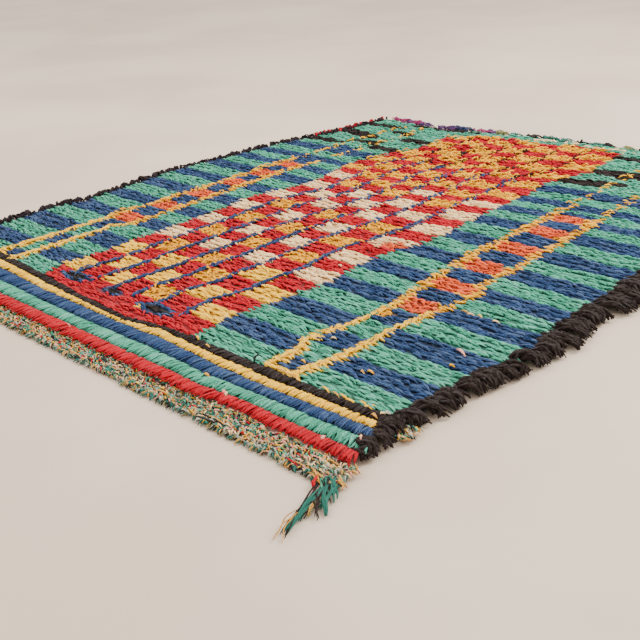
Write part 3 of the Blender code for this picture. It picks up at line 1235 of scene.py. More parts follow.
@dataclass
class FrontStripes:
    """Five thick rows of knots at the front end, whose strands hang towards the front edge.

    Attributes:
        spacing: the step from one strand to the next.
        tuck: how far a strand's root lies under the row behind.
        sight: how far a low tip is set back, because it is seen below the crests.
        thickness: a strand's thickness.
        crests: each stripe's height.
        jags: how ragged each stripe's front edge is.
        root: the height that the strands grow from.
        tip: the height of their tips.
        lock: the distance from one lock of strands to the next.
        lock_drift: how far the locks wander, in radians.
        lock_slant: how far a lock's strands fan out.
        lock_lift: how far they rise across the lock.
        frizz: how far a strand's tip strays.
        stray: how far its heading strays.
        rough: how far its height strays.
        left_margin: how far inside the left selvedge the stripes start.
        right_ends: where across the rug each stripe ends.
        slant: how far the strands lean sideways, across the rug.
        seed: its seed.
    """

    spacing: float = 0.0023
    tuck: float = 0.004
    sight: float = 0.003
    thickness: float = 0.0056
    crests: tuple[float, ...] = (0.0158, 0.0162, 0.0160, 0.0158, 0.0154)
    jags: tuple[float, ...] = (0.0060, 0.0030, 0.0028, 0.0068, 0.0028)
    root: float = 0.0112
    tip: float = 0.0138
    lock: float = 0.024
    lock_drift: float = 2.6
    lock_slant: float = 0.20
    lock_lift: float = 0.0016
    frizz: float = 0.0015
    stray: float = 0.17
    rough: float = 0.0009
    left_margin: float = 0.010
    right_ends: tuple[float, ...] = (1.312, 1.306, 1.296, 1.298, 1.290)
    slant: Outline = Outline((0.0, 0.60, 1.00, 1.12, 1.25, 1.31), (-0.20, -0.20, -0.14, -0.06, 0.12, 0.50))
    seed: int = 41

    def make(self, plan: RugPlan, loom: Loom) -> list[bpy.types.Object]:
        """Makes the stripes' pieces.

        Args:
            plan: the rug's chart.
            loom: what makes the strands.

        Returns:
            The pieces.
        """
        return [self.make_stripe(stripe, yarn, plan, loom) for stripe, yarn in enumerate(plan.stripe_yarns)]

    def make_stripe(self, stripe: int, yarn: Yarn, plan: RugPlan, loom: Loom) -> bpy.types.Object:
        """Makes one stripe.

        Args:
            stripe: its number, from 0 at the front.
            yarn: its yarn.
            plan: the rug's chart.
            loom: what makes the strands.

        Returns:
            The piece.
        """
        pick = np.random.default_rng(self.seed + stripe)
        left = float(plan.left.at(0.0)) + self.left_margin
        count = int((self.right_ends[stripe] - left) / self.spacing)
        across = left + (np.arange(count) + pick.uniform(0, 1, count)) * self.spacing
        drift = Swell(0.06, self.seed + stripe).at(across, across)
        phase = 2 * math.pi * across / self.lock + self.lock_drift * drift
        tooth = (phase / (2 * math.pi)) % 1.0 - 0.5
        pull = tooth * np.clip(drift + 0.9, 0.3, 1)
        ragged = self.jags[stripe] * (pull + 0.2 * drift)
        tip_along = plan.stripe_lines[stripe].at(across) + self.sight + ragged
        tip_along = tip_along + pick.normal(0, self.frizz, count)
        root_along = plan.stripe_lines[stripe + 1].at(across) + self.sight + self.tuck
        slant = self.slant.at(across) + self.lock_slant * pull + self.stray * pick.normal(0, 1, count)
        length = (root_along - tip_along) / np.cos(slant)
        lift = self.rough * Swell(0.07, self.seed + 9).at(across, root_along)
        lift = lift + self.lock_lift * pull + pick.normal(0, self.rough, count)
        tufts = Tufts.even(
            count, across=across, along=(root_along + tip_along) / 2, heading=slant - math.pi / 2,
            length=length,
            thickness=self.thickness * pick.uniform(0.85, 1.15, count), root=self.root,
            crest=self.crests[stripe] + lift, tip=self.tip + lift, peak=0.40,
            bow=pick.normal(0, 0.08, count), curl=0.0003, tint=pick.uniform(0, 1, count), yarn=CODE[yarn],
        )
        return loom.weave(f"front_stripe_{yarn.value}", tufts, yarn, self.seed + stripe)


@dataclass
class ThinLines:
    """The thin lines of knots that run lengthwise, between the columns of checks and down the ladders.

    Attributes:
        spacing: the distance from one strand to the next along a line.
        scatter: how far a strand lies to the side of its line, in front and farther back.
        ends: where along the rug the lines between the columns end.
        blue_to: where along the rug they turn from blue to a sparse black.
        thins: where along the rug the blue lines start to thin out, and where they are thinnest.
        middling: the share of blue strands that is left there.
        sparse: the share of black strands that is left behind them.
        length: a strand's length.
        thickness: its thickness.
        height: its height.
        root: its root's height.
        heading: which way it lies, in radians.
        stray: how far its heading strays.
        wander: how far the lines wander, sideways and up or down.
        dark_share: the share of darker blue strands.
        seed: its seed.
    """

    spacing: float = 0.0026
    scatter: tuple[float, float] = (0.0026, 0.0050)
    ends: float = 1.46
    blue_to: float = 1.18
    thins: tuple[float, float] = (0.45, 0.75)
    middling: float = 0.70
    sparse: float = 0.45
    length: float = 0.018
    thickness: float = 0.0057
    height: float = 0.0169
    root: float = 0.010
    heading: float = -1.30
    stray: float = 0.22
    wander: float = 0.0022
    dark_share: float = 0.36
    seed: int = 51

    def between_columns(self, plan: RugPlan, pick: np.random.Generator) -> tuple[np.ndarray, ...]:
        """Places the strands between the columns of checks.

        Args:
            plan: the rug's chart.
            pick: the source of chance.

        Returns:
            Where across and along the rug they lie, and their yarns' codes.
        """
        along = np.arange(plan.bands[1] - 0.012, self.ends, self.spacing)
        left, right = plan.check_left.at(along), plan.check_right.at(along)
        shares = plan.column_shares[1:-1]
        across = np.concatenate([left + (right - left) * share for share in shares])
        along = np.tile(along, len(shares))
        front_share = np.interp(along, self.thins, (1.0, self.middling))
        kept = pick.random(len(along)) < np.where(along < self.blue_to, front_share, self.sparse)
        across, along = across[kept], along[kept]
        near_yarn = np.where(pick.random(len(along)) < self.dark_share, CODE[Yarn.NAVY], CODE[Yarn.BLUE])
        return across, along, np.where(along < self.blue_to, near_yarn, CODE[Yarn.BLACK])

    def down_ladders(self, plan: RugPlan) -> tuple[np.ndarray, ...]:
        """Places the strands of the ladders' narrow part.

        Args:
            plan: the rug's chart.

        Returns:
            Where across and along the rug they lie, and their yarns' codes.
        """
        ladders = (plan.left_ladder, plan.right_ladder)
        along = np.arange(plan.bands[0] + 0.010, ladders[0].diamonds_from + 0.012, self.spacing)
        lines = [line for ladder in ladders for line in (ladder.outer, ladder.inner)]
        across = np.concatenate([line.at(along) for line in lines])
        along = np.tile(along, len(lines))
        return across, along, np.full(len(along), CODE[Yarn.YELLOW])

    def make(self, plan: RugPlan, loom: Loom) -> list[bpy.types.Object]:
        """Makes the lines' pieces.

        Args:
            plan: the rug's chart.
            loom: what makes the strands.

        Returns:
            The pieces.
        """
        pick = np.random.default_rng(self.seed)
        groups = (self.between_columns(plan, pick), self.down_ladders(plan))
        across, along, yarn = (np.concatenate(parts) for parts in zip(*groups))
        count = len(across)
        drift = Swell(0.05, self.seed).at(across, along)
        scatter = np.interp(along, self.thins, self.scatter)
        crest = self.height + pick.normal(0, 0.0008, count) + 0.5 * self.wander * drift
        tufts = Tufts.even(
            count, across=across + self.wander * drift + scatter * pick.normal(0, 1, count),
            along=along + pick.normal(0, 0.002, count),
            heading=self.heading + self.stray * pick.normal(0, 1, count),
            length=self.length * pick.uniform(0.8, 1.2, count),
            thickness=self.thickness * pick.uniform(0.85, 1.1, count), root=self.root, crest=crest,
            tip=crest - 0.002, peak=0.6, bow=pick.normal(0, 0.08, count), curl=0.0005,
            tint=pick.uniform(0, 1, count), yarn=yarn,
        )
        return loom.weave_by_yarn("thin_line", tufts, self.seed)


@dataclass
class GroundWeave:
    """The flatwoven ground that carries the pile, with the bare skirt at the front.

    Attributes:
        top: the bare skirt's height.
        bed: its height among the roots of the pile.
        bed_from: where along the rug that height starts.
        bed_shade: how much of the yarns' own colour it shows, over their deep one, which is painted shade.
        skirt: how far it reaches in front of the pile.
        columns: faces across it.
        rows: faces along it.
        side_margin: how far inside the selvedges it ends.
        far_margin: how far before the far end.
        ripple: how far its top rises and falls.
        thread: the width of a pair of its threads.
        relief: how far its threads stand out.
        fibre_scale: how fine its fuzz is, in waves a metre.
        streak_scale: how fine its dark streaks of painted shade are.
        streak_squash: their width as a share of their length.
        streak_shade: how dark their painted shade is.
        fuzzed: how much the fuzz hides them.
        gap_shade_colour: the colour of that painted shade, in linear light.
        flat: its size when laid flat; not used.
        seed: the seed of its small relief.
    """

    top: float = 0.0046
    bed: float = 0.0118
    bed_from: float = 0.016
    bed_shade: float = 0.35
    skirt: float = 0.026
    columns: int = 120
    rows: int = 190
    side_margin: float = 0.005
    far_margin: float = 0.004
    ripple: float = 0.0004
    thread: float = 0.0045
    relief: float = 0.0012
    fibre_scale: float = 420.0
    streak_scale: float = 330.0
    streak_squash: float = 0.22
    streak_shade: Ramp = Ramp(0.52, 0.34, 0.75)
    fuzzed: Ramp = Ramp(0.4, 0.7, 0.35)
    gap_shade_colour: tuple[float, float, float, float] = (0.012, 0.008, 0.007, 1.0)
    flat: tuple[float, float] = (1.31, 1.60)
    seed: int = 61

    def make(self, plan: RugPlan, shop: YarnShop) -> bpy.types.Object:
        """Makes the ground as one thin closed sheet.

        Args:
            plan: the rug's chart.
            shop: where the yarns' materials come from; not used.

        Returns:
            The piece.
        """
        form = bmesh.new()
        bmesh.ops.create_grid(form, x_segments=self.columns, y_segments=self.rows, size=0.5)
        for vert in form.verts:
            vert.co = self.place(plan, vert.co.x + 0.5, vert.co.y + 0.5)
        rim = [edge for edge in form.edges if edge.is_boundary]
        wall = bmesh.ops.extrude_edge_only(form, edges=rim)["geom"]
        for vert in wall:
            if isinstance(vert, bmesh.types.BMVert):
                vert.co.z = 0.0
        bottom = [edge for edge in wall if isinstance(edge, bmesh.types.BMEdge) and edge.is_boundary]
        bmesh.ops.triangle_fill(form, edges=bottom, use_beauty=True, use_dissolve=False)
        bmesh.ops.recalc_face_normals(form, faces=form.faces[:])
        mesh = bpy.data.meshes.new("ground_weave")
        form.to_mesh(mesh)
        form.free()
        self.shade_the_bed(mesh, plan)
        mesh.materials.append(self.material())
        piece = bpy.data.objects.new("ground_weave", mesh)
        bpy.context.scene.collection.objects.link(piece)
        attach(piece, BODY)
        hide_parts("rug_cloth")
        log.info("ground_weave: %d faces", len(mesh.polygons))
        return piece

    def place(self, plan: RugPlan, share_across: float, share_along: float) -> Vector:
        """Places one point of the ground's top.

        Args:
            plan: the rug's chart.
            share_across: from 0 at the left to 1 at the right.
            share_along: from 0 at the front to 1 at the far end.

        Returns:
            The point.
        """
        across, along = 0.0, share_along * 1.5
        for _ in range(3):
            left = float(plan.left.at(along)) + self.side_margin
            right = float(plan.right.at(along)) - self.side_margin
            across = left + (right - left) * share_across
            far = float(plan.far.at(across)) - self.far_margin
            along = -self.skirt + (far + self.skirt) * share_along
        ripple = float(Swell(0.03, self.seed).at(np.array(across), np.array(along)))
        height = self.bed if along > self.bed_from else self.top
        return Vector((across - MIDDLE_ACROSS, along - MIDDLE_ALONG, height + self.ripple * ripple))

    def shade_the_bed(self, mesh: bpy.types.Mesh, plan: RugPlan) -> None:
        """Gives each place the colour of the yarn that is knotted there, darkened towards its deep colour as
        painted shade between the strands.

        Args:
            mesh: the ground's mesh.
            plan: the rug's chart.
        """
        places = np.zeros(len(mesh.vertices) * 3, np.float32)
        mesh.vertices.foreach_get("co", places)
        places = places.reshape(-1, 3)
        across, along = places[:, 0] + MIDDLE_ACROSS, places[:, 1] + MIDDLE_ALONG
        yarn = plan.pile_yarns(across, along, np.random.default_rng(self.seed))
        for stripe, kind in reversed(list(enumerate(plan.stripe_yarns))):
            yarn[along < plan.stripe_end(stripe, across)] = CODE[kind]
        yarn[along < self.bed_from] = CODE[Yarn.GREY]
        # Painted shade: the yarns' own colours darkened towards their deep ones, for the shade among the
        # strands' roots.
        shaded_dyes = np.array([linear(FINISHES[kind].deep()) for kind in YARNS]) * (1 - self.bed_shade)
        shaded_dyes = shaded_dyes + np.array([linear(FINISHES[kind].colour) for kind in YARNS]) * self.bed_shade
        colours = mesh.attributes.new(BED, "FLOAT_COLOR", "POINT")
        colours.data.foreach_set("color", shaded_dyes[yarn].astype(np.float32).ravel())

    def material(self) -> bpy.types.Material:
        """Makes the ground's material: a coarse plain weave in the colours of the pile, with dark streaks of
        painted shade between the strands.

        Returns:
            The material.
        """
        material = bpy.data.materials.new("ground_wool")
        material.use_nodes = True
        tools = NodeTools(material.node_tree)
        shader = material.node_tree.nodes["Principled BSDF"]
        place = tools.add("ShaderNodeTexCoord").outputs["Object"]
        split = tools.add("ShaderNodeSeparateXYZ")
        tools.join(place, split.inputs[0])
        streaks = tools.add("ShaderNodeMapping")
        streaks.inputs["Scale"].default_value = (self.streak_squash, 1.0, 1.0)
        tools.join(place, streaks.inputs["Vector"])
        combed = tools.noise(streaks.outputs["Vector"], self.streak_scale, 3.0)
        pace = 2 * math.pi / self.thread
        warp = tools.math("SINE", tools.math("MULTIPLY", split.outputs["X"], pace))
        weft = tools.math("SINE", tools.math("MULTIPLY", split.outputs["Y"], pace))
        weave = tools.math("MULTIPLY", warp, weft)
        bed = tools.add("ShaderNodeAttribute", attribute_name=BED).outputs["Color"]
        # Painted shade: dark streaks between the strands, mixed into the ground's colour.
        dark = tools.mix(tools.share(combed, self.streak_shade), bed, self.gap_shade_colour)
        fibres = tools.noise(place, self.fibre_scale, 3.0)
        tools.join(tools.mix(tools.share(fibres, self.fuzzed), dark, bed), shader.inputs["Base Color"])
        bump = tools.add("ShaderNodeBump")
        bump.inputs["Distance"].default_value = self.relief
        tools.join(tools.math("MULTIPLY_ADD", weave, 0.25, combed), bump.inputs["Height"])
        tools.join(bump.outputs["Normal"], shader.inputs["Normal"])
        tools.join(tools.math("MULTIPLY_ADD", fibres, 0.1, 0.85), shader.inputs["Roughness"])
        return material


@dataclass
class SideShag:
    """Loose dark yarn along one selvedge, in curly locks that lie outwards over the ground's edge.

    Attributes:
        name: the piece's name.
        node: the solid that it stands for.
        yarn: its yarn.
        edge: the selvedge's outline.
        side: 1 where it lies towards the right, -1 towards the left.
        reach: how far past the selvedge its locks reach, along the rug.
        inset: how far inside the outline the strip of roots ends.
        depth: how wide the strip of roots is, along the rug.
        spacing: the step from one strand to the next.
        lock: the distance from one lock to the next.
        crest: its height.
        thickness: a strand's thickness.
        curl: how far a strand waves.
        ends: where along the rug it starts and ends.
        seed: its seed.
        root: the roots' height.
        lock_reach: the least and the most of it that a lock reaches.
        short_share: the share of strands that are short.
        short_reach: the least and the most of a lock's reach that they have.
        full_reach: the same for the others.
    """

    name: str
    node: str
    yarn: Yarn
    edge: Outline
    side: float
    reach: Outline
    inset: float
    depth: Outline
    spacing: float
    lock: float
    crest: float
    thickness: float
    curl: float
    ends: tuple[float, float]
    seed: int
    root: float = 0.0075
    lock_reach: tuple[float, float] = (0.66, 1.16)
    short_share: float = 0.35
    short_reach: tuple[float, float] = (0.05, 0.60)
    full_reach: tuple[float, float] = (0.75, 1.0)

    def make(self, loom: Loom) -> list[bpy.types.Object]:
        """Makes the shag's piece.

        Args:
            loom: what makes the strands.

        Returns:
            The piece, in a list.
        """
        pick = np.random.default_rng(self.seed)
        count = int((self.ends[1] - self.ends[0]) / self.spacing)
        root_along = self.ends[0] + (np.arange(count) + pick.uniform(0, 1, count)) * self.spacing
        inward = pick.uniform(0, 1, count)
        inside = self.inset + self.depth.at(root_along) * inward
        root_across = self.edge.at(root_along) - self.side * inside
        lock = np.round((root_along - self.ends[0]) / self.lock + pick.normal(0, 0.25, count)).astype(int)
        locks = lock.max() - lock.min() + 1
        lock = lock - lock.min()
        lock_turn = pick.normal(0.10, 0.65, locks)[lock] * self.lock
        lock_reach = pick.uniform(*self.lock_reach, locks)[lock]
        lock_lift = pick.normal(0, 0.0016, locks)[lock]
        lock_tint = pick.uniform(0.1, 0.9, locks)[lock]
        tip_along = self.ends[0] + lock * self.lock + lock_turn + pick.normal(0, 0.22, count) * self.lock
        short = pick.random(count) < self.short_share
        short_reach = pick.uniform(*self.short_reach, count)
        share = np.where(short, short_reach, pick.uniform(*self.full_reach, count))
        beyond = self.reach.at(root_along) * lock_reach * share
        tip_across = self.edge.at(root_along) + self.side * beyond
        run_across, run_along = tip_across - root_across, tip_along - root_along
        crest = self.crest + lock_lift + 0.002 * (inward - 0.5) + pick.normal(0, 0.0012, count)
        floor = self.thickness * 0.5 + pick.uniform(0, 0.007, count)
        tufts = Tufts.even(
            count, across=(root_across + tip_across) / 2, along=(root_along + tip_along) / 2,
            heading=np.arctan2(run_along, run_across), length=np.hypot(run_across, run_along),
            thickness=self.thickness * pick.uniform(0.8, 1.2, count), root=self.root, crest=crest,
            tip=np.where(share > 0.5, floor, crest - 0.004), peak=0.55, bow=pick.normal(0, 0.18, count),
            curl=self.curl * pick.uniform(0.5, 1.6, count),
            tint=0.5 * lock_tint + 0.5 * pick.uniform(0, 1, count), yarn=CODE[self.yarn],
        )
        piece = loom.weave(self.name, tufts, self.yarn, self.seed)
        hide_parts(self.node)
        return [piece]


@dataclass
class RagSkirt:
    """The flatwoven front edge: short lengths of mixed rag, and a dark frayed fringe.

    Attributes:
        count: how many lengths of rag there are.
        fray_count: how many frayed ends there are.
        long_count: how many longer strands lie along its outer edge.
        patch_count: how many lengths of rag show beside the right selvedge.
        patch_across: between which places across the rug they lie.
        patch_along: between which places along it.
        left_margin: how far inside the left selvedge the rag starts.
        right_reach: how far past the right one it goes on.
        behind: how far it goes on under the pile.
        depth: how far it reaches in front of the pile.
        palette: its yarns, each with its share of the rag.
        fray_palette: the fringe's yarns, each with its share.
        long_palette: the longer strands' yarns, each with its share.
        seed: its seed.
    """

    count: int = 3900
    fray_count: int = 760
    long_count: int = 64
    patch_count: int = 70
    patch_across: tuple[float, float] = (1.304, 1.328)
    patch_along: tuple[float, float] = (0.104, 0.144)
    left_margin: float = 0.006
    right_reach: float = 0.028
    behind: float = 0.014
    depth: float = 0.030
    palette: tuple[tuple[Yarn, float], ...] = (
        (Yarn.TEAL, 0.08), (Yarn.GREEN, 0.17), (Yarn.OCHRE, 0.16), (Yarn.YELLOW, 0.05), (Yarn.CREAM, 0.14),
        (Yarn.RED, 0.04), (Yarn.BLACK, 0.02), (Yarn.GREY, 0.19), (Yarn.PINK, 0.08), (Yarn.OLIVE, 0.07),
    )
    fray_palette: tuple[tuple[Yarn, float], ...] = (
        (Yarn.TEAL, 0.42), (Yarn.BLACK, 0.22), (Yarn.OLIVE, 0.14), (Yarn.OCHRE, 0.12), (Yarn.GREY, 0.10),
    )
    long_palette: tuple[tuple[Yarn, float], ...] = (
        (Yarn.RED, 0.34), (Yarn.BLACK, 0.24), (Yarn.OCHRE, 0.22), (Yarn.TEAL, 0.20),
    )
    seed: int = 81

    @staticmethod
    def choose(palette: tuple[tuple[Yarn, float], ...], pick: np.random.Generator,
               count: int) -> np.ndarray:
        """Chooses a yarn for each strand.

        Args:
            palette: the yarns, each with its share.
            pick: the source of chance.
            count: how many strands there are.

        Returns:
            The yarns' codes.
        """
        codes = [CODE[yarn] for yarn, _ in palette]
        return pick.choice(codes, count, p=[share for _, share in palette])

    def make(self, plan: RugPlan, loom: Loom) -> list[bpy.types.Object]:
        """Makes the skirt's pieces.

        Args:
            plan: the rug's chart.
            loom: what makes the strands.

        Returns:
            The pieces.
        """
        pick = np.random.default_rng(self.seed)
        left = float(plan.left.at(0.0)) + self.left_margin
        right = float(plan.right.at(0.0)) + self.right_reach
        across = pick.uniform(left, right, self.count)
        inward = pick.uniform(0.0, 1.0, self.count)
        along = self.behind - (self.depth + self.behind) * inward
        crest = 0.0100 - 0.0030 * inward + pick.normal(0, 0.0009, self.count)
        rags = Tufts.even(
            self.count, across=across, along=along, heading=-0.35 + 0.50 * pick.normal(0, 1, self.count),
            length=pick.uniform(0.007, 0.015, self.count), thickness=pick.uniform(0.0022, 0.0036, self.count),
            root=crest - 0.003, crest=crest, tip=crest - 0.003, peak=0.5,
            bow=pick.normal(0, 0.20, self.count), curl=0.0010, tint=pick.uniform(0, 1, self.count),
            yarn=self.choose(self.palette, pick, self.count),
        )
        count = self.long_count
        crest = 0.0080 + pick.normal(0, 0.0006, count)
        long = Tufts.even(
            count, across=pick.uniform(left + 0.02, right - 0.04, count),
            along=pick.uniform(-0.030, -0.010, count), heading=pick.normal(0, 0.14, count),
            length=pick.uniform(0.024, 0.055, count),
            thickness=pick.uniform(0.0026, 0.0036, count), root=crest - 0.001, crest=crest, tip=crest - 0.002,
            peak=0.5, bow=pick.normal(0, 0.10, count), curl=0.0010, tint=pick.uniform(0, 1, count),
            yarn=self.choose(self.long_palette, pick, count),
        )
        rags.across[:self.patch_count] = pick.uniform(*self.patch_across, self.patch_count)
        rags.along[:self.patch_count] = pick.uniform(*self.patch_along, self.patch_count)
        pieces = loom.weave_by_yarn("skirt_rag", rags, self.seed)
        pieces += loom.weave_by_yarn("skirt_strand", long, self.seed)

        count = self.fray_count
        across = pick.uniform(left, right, count)
        heading = -math.pi / 2 + 0.85 * pick.normal(0, 1, count)
        length = pick.uniform(0.009, 0.019, count)
        frays = Tufts.even(
            count, across=across, along=-self.depth + 0.004 + np.sin(heading) * length * 0.3,
            heading=heading, length=length, thickness=pick.uniform(0.0028, 0.0044, count), root=0.0045,
            crest=0.0058, tip=0.0022, peak=0.4, bow=pick.normal(0, 0.2, count), curl=0.0014,
            tint=pick.uniform(0, 1, count), yarn=self.choose(self.fray_palette, pick, count),
        )
        return pieces + loom.weave_by_yarn("front_fray", frays, self.seed, "front_fringe")


@dataclass(frozen=True)
class Fleck:
    """One loose strand that lies on the pile.

    Attributes:
        yarn: its yarn.
        across: where its middle lies across the rug.
        along: where its middle lies along the rug.
        turn: which way it lies, in radians.
        length: its length.
        thickness: its thickness.
        height: its height.
        root_drop: how far its root lies below that.
    """

    yarn: Yarn
    across: float
    along: float
    turn: float
    length: float
    thickness: float = 0.0048
    height: float = 0.0185
    root_drop: float = 0.004


@dataclass
class LooseStrands:
    """The few odd strands that lie on the pile, and one that stands up from the black stripe.

    Attributes:
        seed: their seed.
        flecks: the strands.
    """

    seed: int = 111
    flecks: tuple[Fleck, ...] = (
        Fleck(Yarn.BLACK, 1.012, 0.128, 1.2, 0.014, 0.0044, 0.0285, 0.016),
        Fleck(Yarn.PINK, 1.291, 0.058, -0.6, 0.016, 0.0080),
        Fleck(Yarn.CREAM, 1.288, 0.062, -0.9, 0.014, 0.0070),
        Fleck(Yarn.PINK, 1.250, 0.030, -0.9, 0.013, 0.0070),
        Fleck(Yarn.PINK, 1.049, 0.031, -0.2, 0.014, 0.0080),
        Fleck(Yarn.CREAM, 1.055, 0.029, -1.2, 0.010, 0.0060),
        Fleck(Yarn.GREY, 1.273, 0.132, 0.1, 0.012, 0.0070),
        Fleck(Yarn.CREAM, 1.268, 0.128, 0.5, 0.010, 0.0050),
        Fleck(Yarn.OCHRE, 1.262, 0.117, -0.2, 0.016, 0.0050),
        Fleck(Yarn.PINK, 1.235, 0.347, -0.36, 0.030, 0.0056, 0.0190),
        Fleck(Yarn.CREAM, 0.813, 0.626, 0.2, 0.012, 0.0060),
        Fleck(Yarn.CREAM, 0.828, 0.506, -0.2, 0.010, 0.0060),
        Fleck(Yarn.PINK, 0.648, 0.021, -0.1, 0.040, 0.0030, 0.0180),
        Fleck(Yarn.OCHRE, 0.985, 0.050, -0.2, 0.018, 0.0056),
        Fleck(Yarn.OCHRE, 1.146, 0.474, -0.2, 0.020),
        Fleck(Yarn.CREAM, 1.160, 0.471, 0.1, 0.014),
        Fleck(Yarn.YELLOW, 1.176, 0.474, -0.3, 0.014),
        Fleck(Yarn.CREAM, 1.209, 0.471, 0.0, 0.016),
        Fleck(Yarn.ORANGE, 1.156, 0.131, -0.10, 0.030, 0.0044, 0.0172),
        Fleck(Yarn.OCHRE, 1.176, 0.130, -0.20, 0.026, 0.0044, 0.0172),
        Fleck(Yarn.ORANGE, 1.192, 0.131, -0.10, 0.030, 0.0044, 0.0172),
        Fleck(Yarn.YELLOW, 1.207, 0.128, -0.15, 0.026, 0.0050, 0.0172),
        Fleck(Yarn.ORANGE, 1.226, 0.134, -0.05, 0.028, 0.0048, 0.0172),
        Fleck(Yarn.YELLOW, 1.240, 0.130, -0.10, 0.024, 0.0050, 0.0172),
        Fleck(Yarn.ORANGE, 1.245, 0.137, 0.05, 0.022, 0.0044, 0.0172),
        Fleck(Yarn.ORANGE, 1.252, 0.302, -0.2, 0.012),
        Fleck(Yarn.OCHRE, 1.161, 0.204, -0.3, 0.012),
        Fleck(Yarn.ORANGE, 1.170, 0.211, -0.2, 0.016),
        Fleck(Yarn.OCHRE, 1.062, 0.131, -0.2, 0.030, 0.0036),
        Fleck(Yarn.OCHRE, 1.092, 0.128, -0.2, 0.032, 0.0036),
        Fleck(Yarn.OCHRE, 0.905, 0.117, -0.2, 0.018, 0.0040),
        Fleck(Yarn.ORANGE, 0.868, 0.127, -0.5, 0.016),
        Fleck(Yarn.ORANGE, 1.066, 0.174, -0.3, 0.012),
        Fleck(Yarn.CREAM, 1.045, 0.262, 0.2, 0.012),
    )

    def make(self, loom: Loom) -> list[bpy.types.Object]:
        """Makes the loose strands' pieces.

        Args:
            loom: what makes the strands.

        Returns:
            The pieces.
        """
        pick = np.random.default_rng(self.seed)
        count = len(self.flecks)
        sizes = np.array([astuple(fleck)[1:] for fleck in self.flecks])
        across, along, turn, length, thickness, height, drop = sizes.T
        tufts = Tufts.even(
            count, across=across, along=along, heading=turn, length=length, thickness=thickness,
            root=height - drop, crest=height, tip=height - 0.003, peak=0.5, bow=pick.normal(0, 0.10, count),
            curl=0.0004, tint=pick.uniform(0.3, 1, count),
            yarn=np.array([CODE[fleck.yarn] for fleck in self.flecks]),
        )
        return loom.weave_by_yarn("loose_strand", tufts, self.seed)


@dataclass(frozen=True)
class Knot:
    """One clump of knotted ends at the far edge.

    Attributes:
        across: where it lies across the rug.
        yarn: its yarn.
        height: how high it stands.
    """

    across: float
    yarn: Yarn
    height: float = 0.0165


@dataclass
class FarKnots:
    """The clumps of knotted yarn ends along the far edge.

    Attributes:
        strands: how many strands a clump has.
        longest: a strand's length.
        spread: how wide a clump is.
        fan: how far its strands fan out, in radians.
        seed: its seed.
        knots: the clumps.
    """

    strands: int = 14
    longest: float = 0.036
    spread: float = 0.012
    fan: float = 0.45
    seed: int = 91
    knots: tuple[Knot, ...] = (
        Knot(0.112, Yarn.MAGENTA, 0.021), Knot(0.138, Yarn.MAGENTA, 0.022), Knot(0.164, Yarn.PURPLE, 0.021),
        Knot(0.186, Yarn.MAGENTA, 0.022), Knot(0.222, Yarn.PURPLE, 0.020), Knot(0.292, Yarn.PURPLE, 0.020),
        Knot(0.318, Yarn.PURPLE, 0.020), Knot(0.342, Yarn.NAVY, 0.022), Knot(0.358, Yarn.NAVY, 0.021),
        Knot(0.410, Yarn.MAGENTA, 0.019), Knot(0.438, Yarn.PURPLE, 0.020), Knot(0.468, Yarn.OLIVE, 0.018),
        Knot(0.510, Yarn.TEAL), Knot(0.556, Yarn.BLACK), Knot(0.603, Yarn.TEAL, 0.019),
        Knot(0.650, Yarn.TEAL), Knot(0.715, Yarn.BLACK), Knot(0.749, Yarn.TEAL), Knot(0.777, Yarn.BLACK),
        Knot(0.833, Yarn.OLIVE), Knot(0.880, Yarn.BLACK), Knot(0.925, Yarn.TEAL), Knot(0.965, Yarn.BLACK),
        Knot(1.010, Yarn.TEAL), Knot(1.055, Yarn.TEAL), Knot(1.100, Yarn.PURPLE), Knot(1.150, Yarn.BLACK),
        Knot(1.195, Yarn.NAVY), Knot(1.240, Yarn.TEAL), Knot(1.280, Yarn.MAGENTA),
    )

    def make(self, plan: RugPlan, loom: Loom) -> list[bpy.types.Object]:
        """Makes the clumps' pieces.

        Args:
            plan: the rug's chart.
            loom: what makes the strands.

        Returns:
            The pieces.
        """
        pick = np.random.default_rng(self.seed)
        count = len(self.knots) * self.strands
        middle = np.repeat([knot.across for knot in self.knots], self.strands)
        yarn = np.repeat([CODE[knot.yarn] for knot in self.knots], self.strands)
        fan = pick.normal(0, 1, count)
        heading = math.pi / 2 - self.fan * fan
        length = self.longest * pick.uniform(0.6, 1.2, count)
        across = middle + self.spread * fan * 0.6 + np.cos(heading) * length * 0.4
        along = plan.far.at(middle) + np.sin(heading) * length * 0.35
        high = np.repeat([knot.height for knot in self.knots], self.strands)
        crest = high + pick.normal(0, 0.0020, count)
        tufts = Tufts.even(
            count, across=across, along=along, heading=heading, length=length,
            thickness=pick.uniform(0.0034, 0.0052, count), root=0.007, crest=crest, tip=0.0035, peak=0.4,
            bow=pick.normal(0, 0.2, count), curl=0.0025, tint=pick.uniform(0, 1, count), yarn=yarn,
        )
        return loom.weave_by_yarn("far_knots", tufts, self.seed, "far_fringe")


@dataclass(frozen=True)
class TasselStrand:
    """One strand of the corner tassel, from its knot to its tip.

    Attributes:
        yarn: its yarn.
        start: where it starts, across and along the rug.
        tip: where it ends.
        thickness: its thickness.
        bow: its bend, as a share of its length.
    """

    yarn: Yarn
    start: tuple[float, float]
    tip: tuple[float, float]
    thickness: float
    bow: float


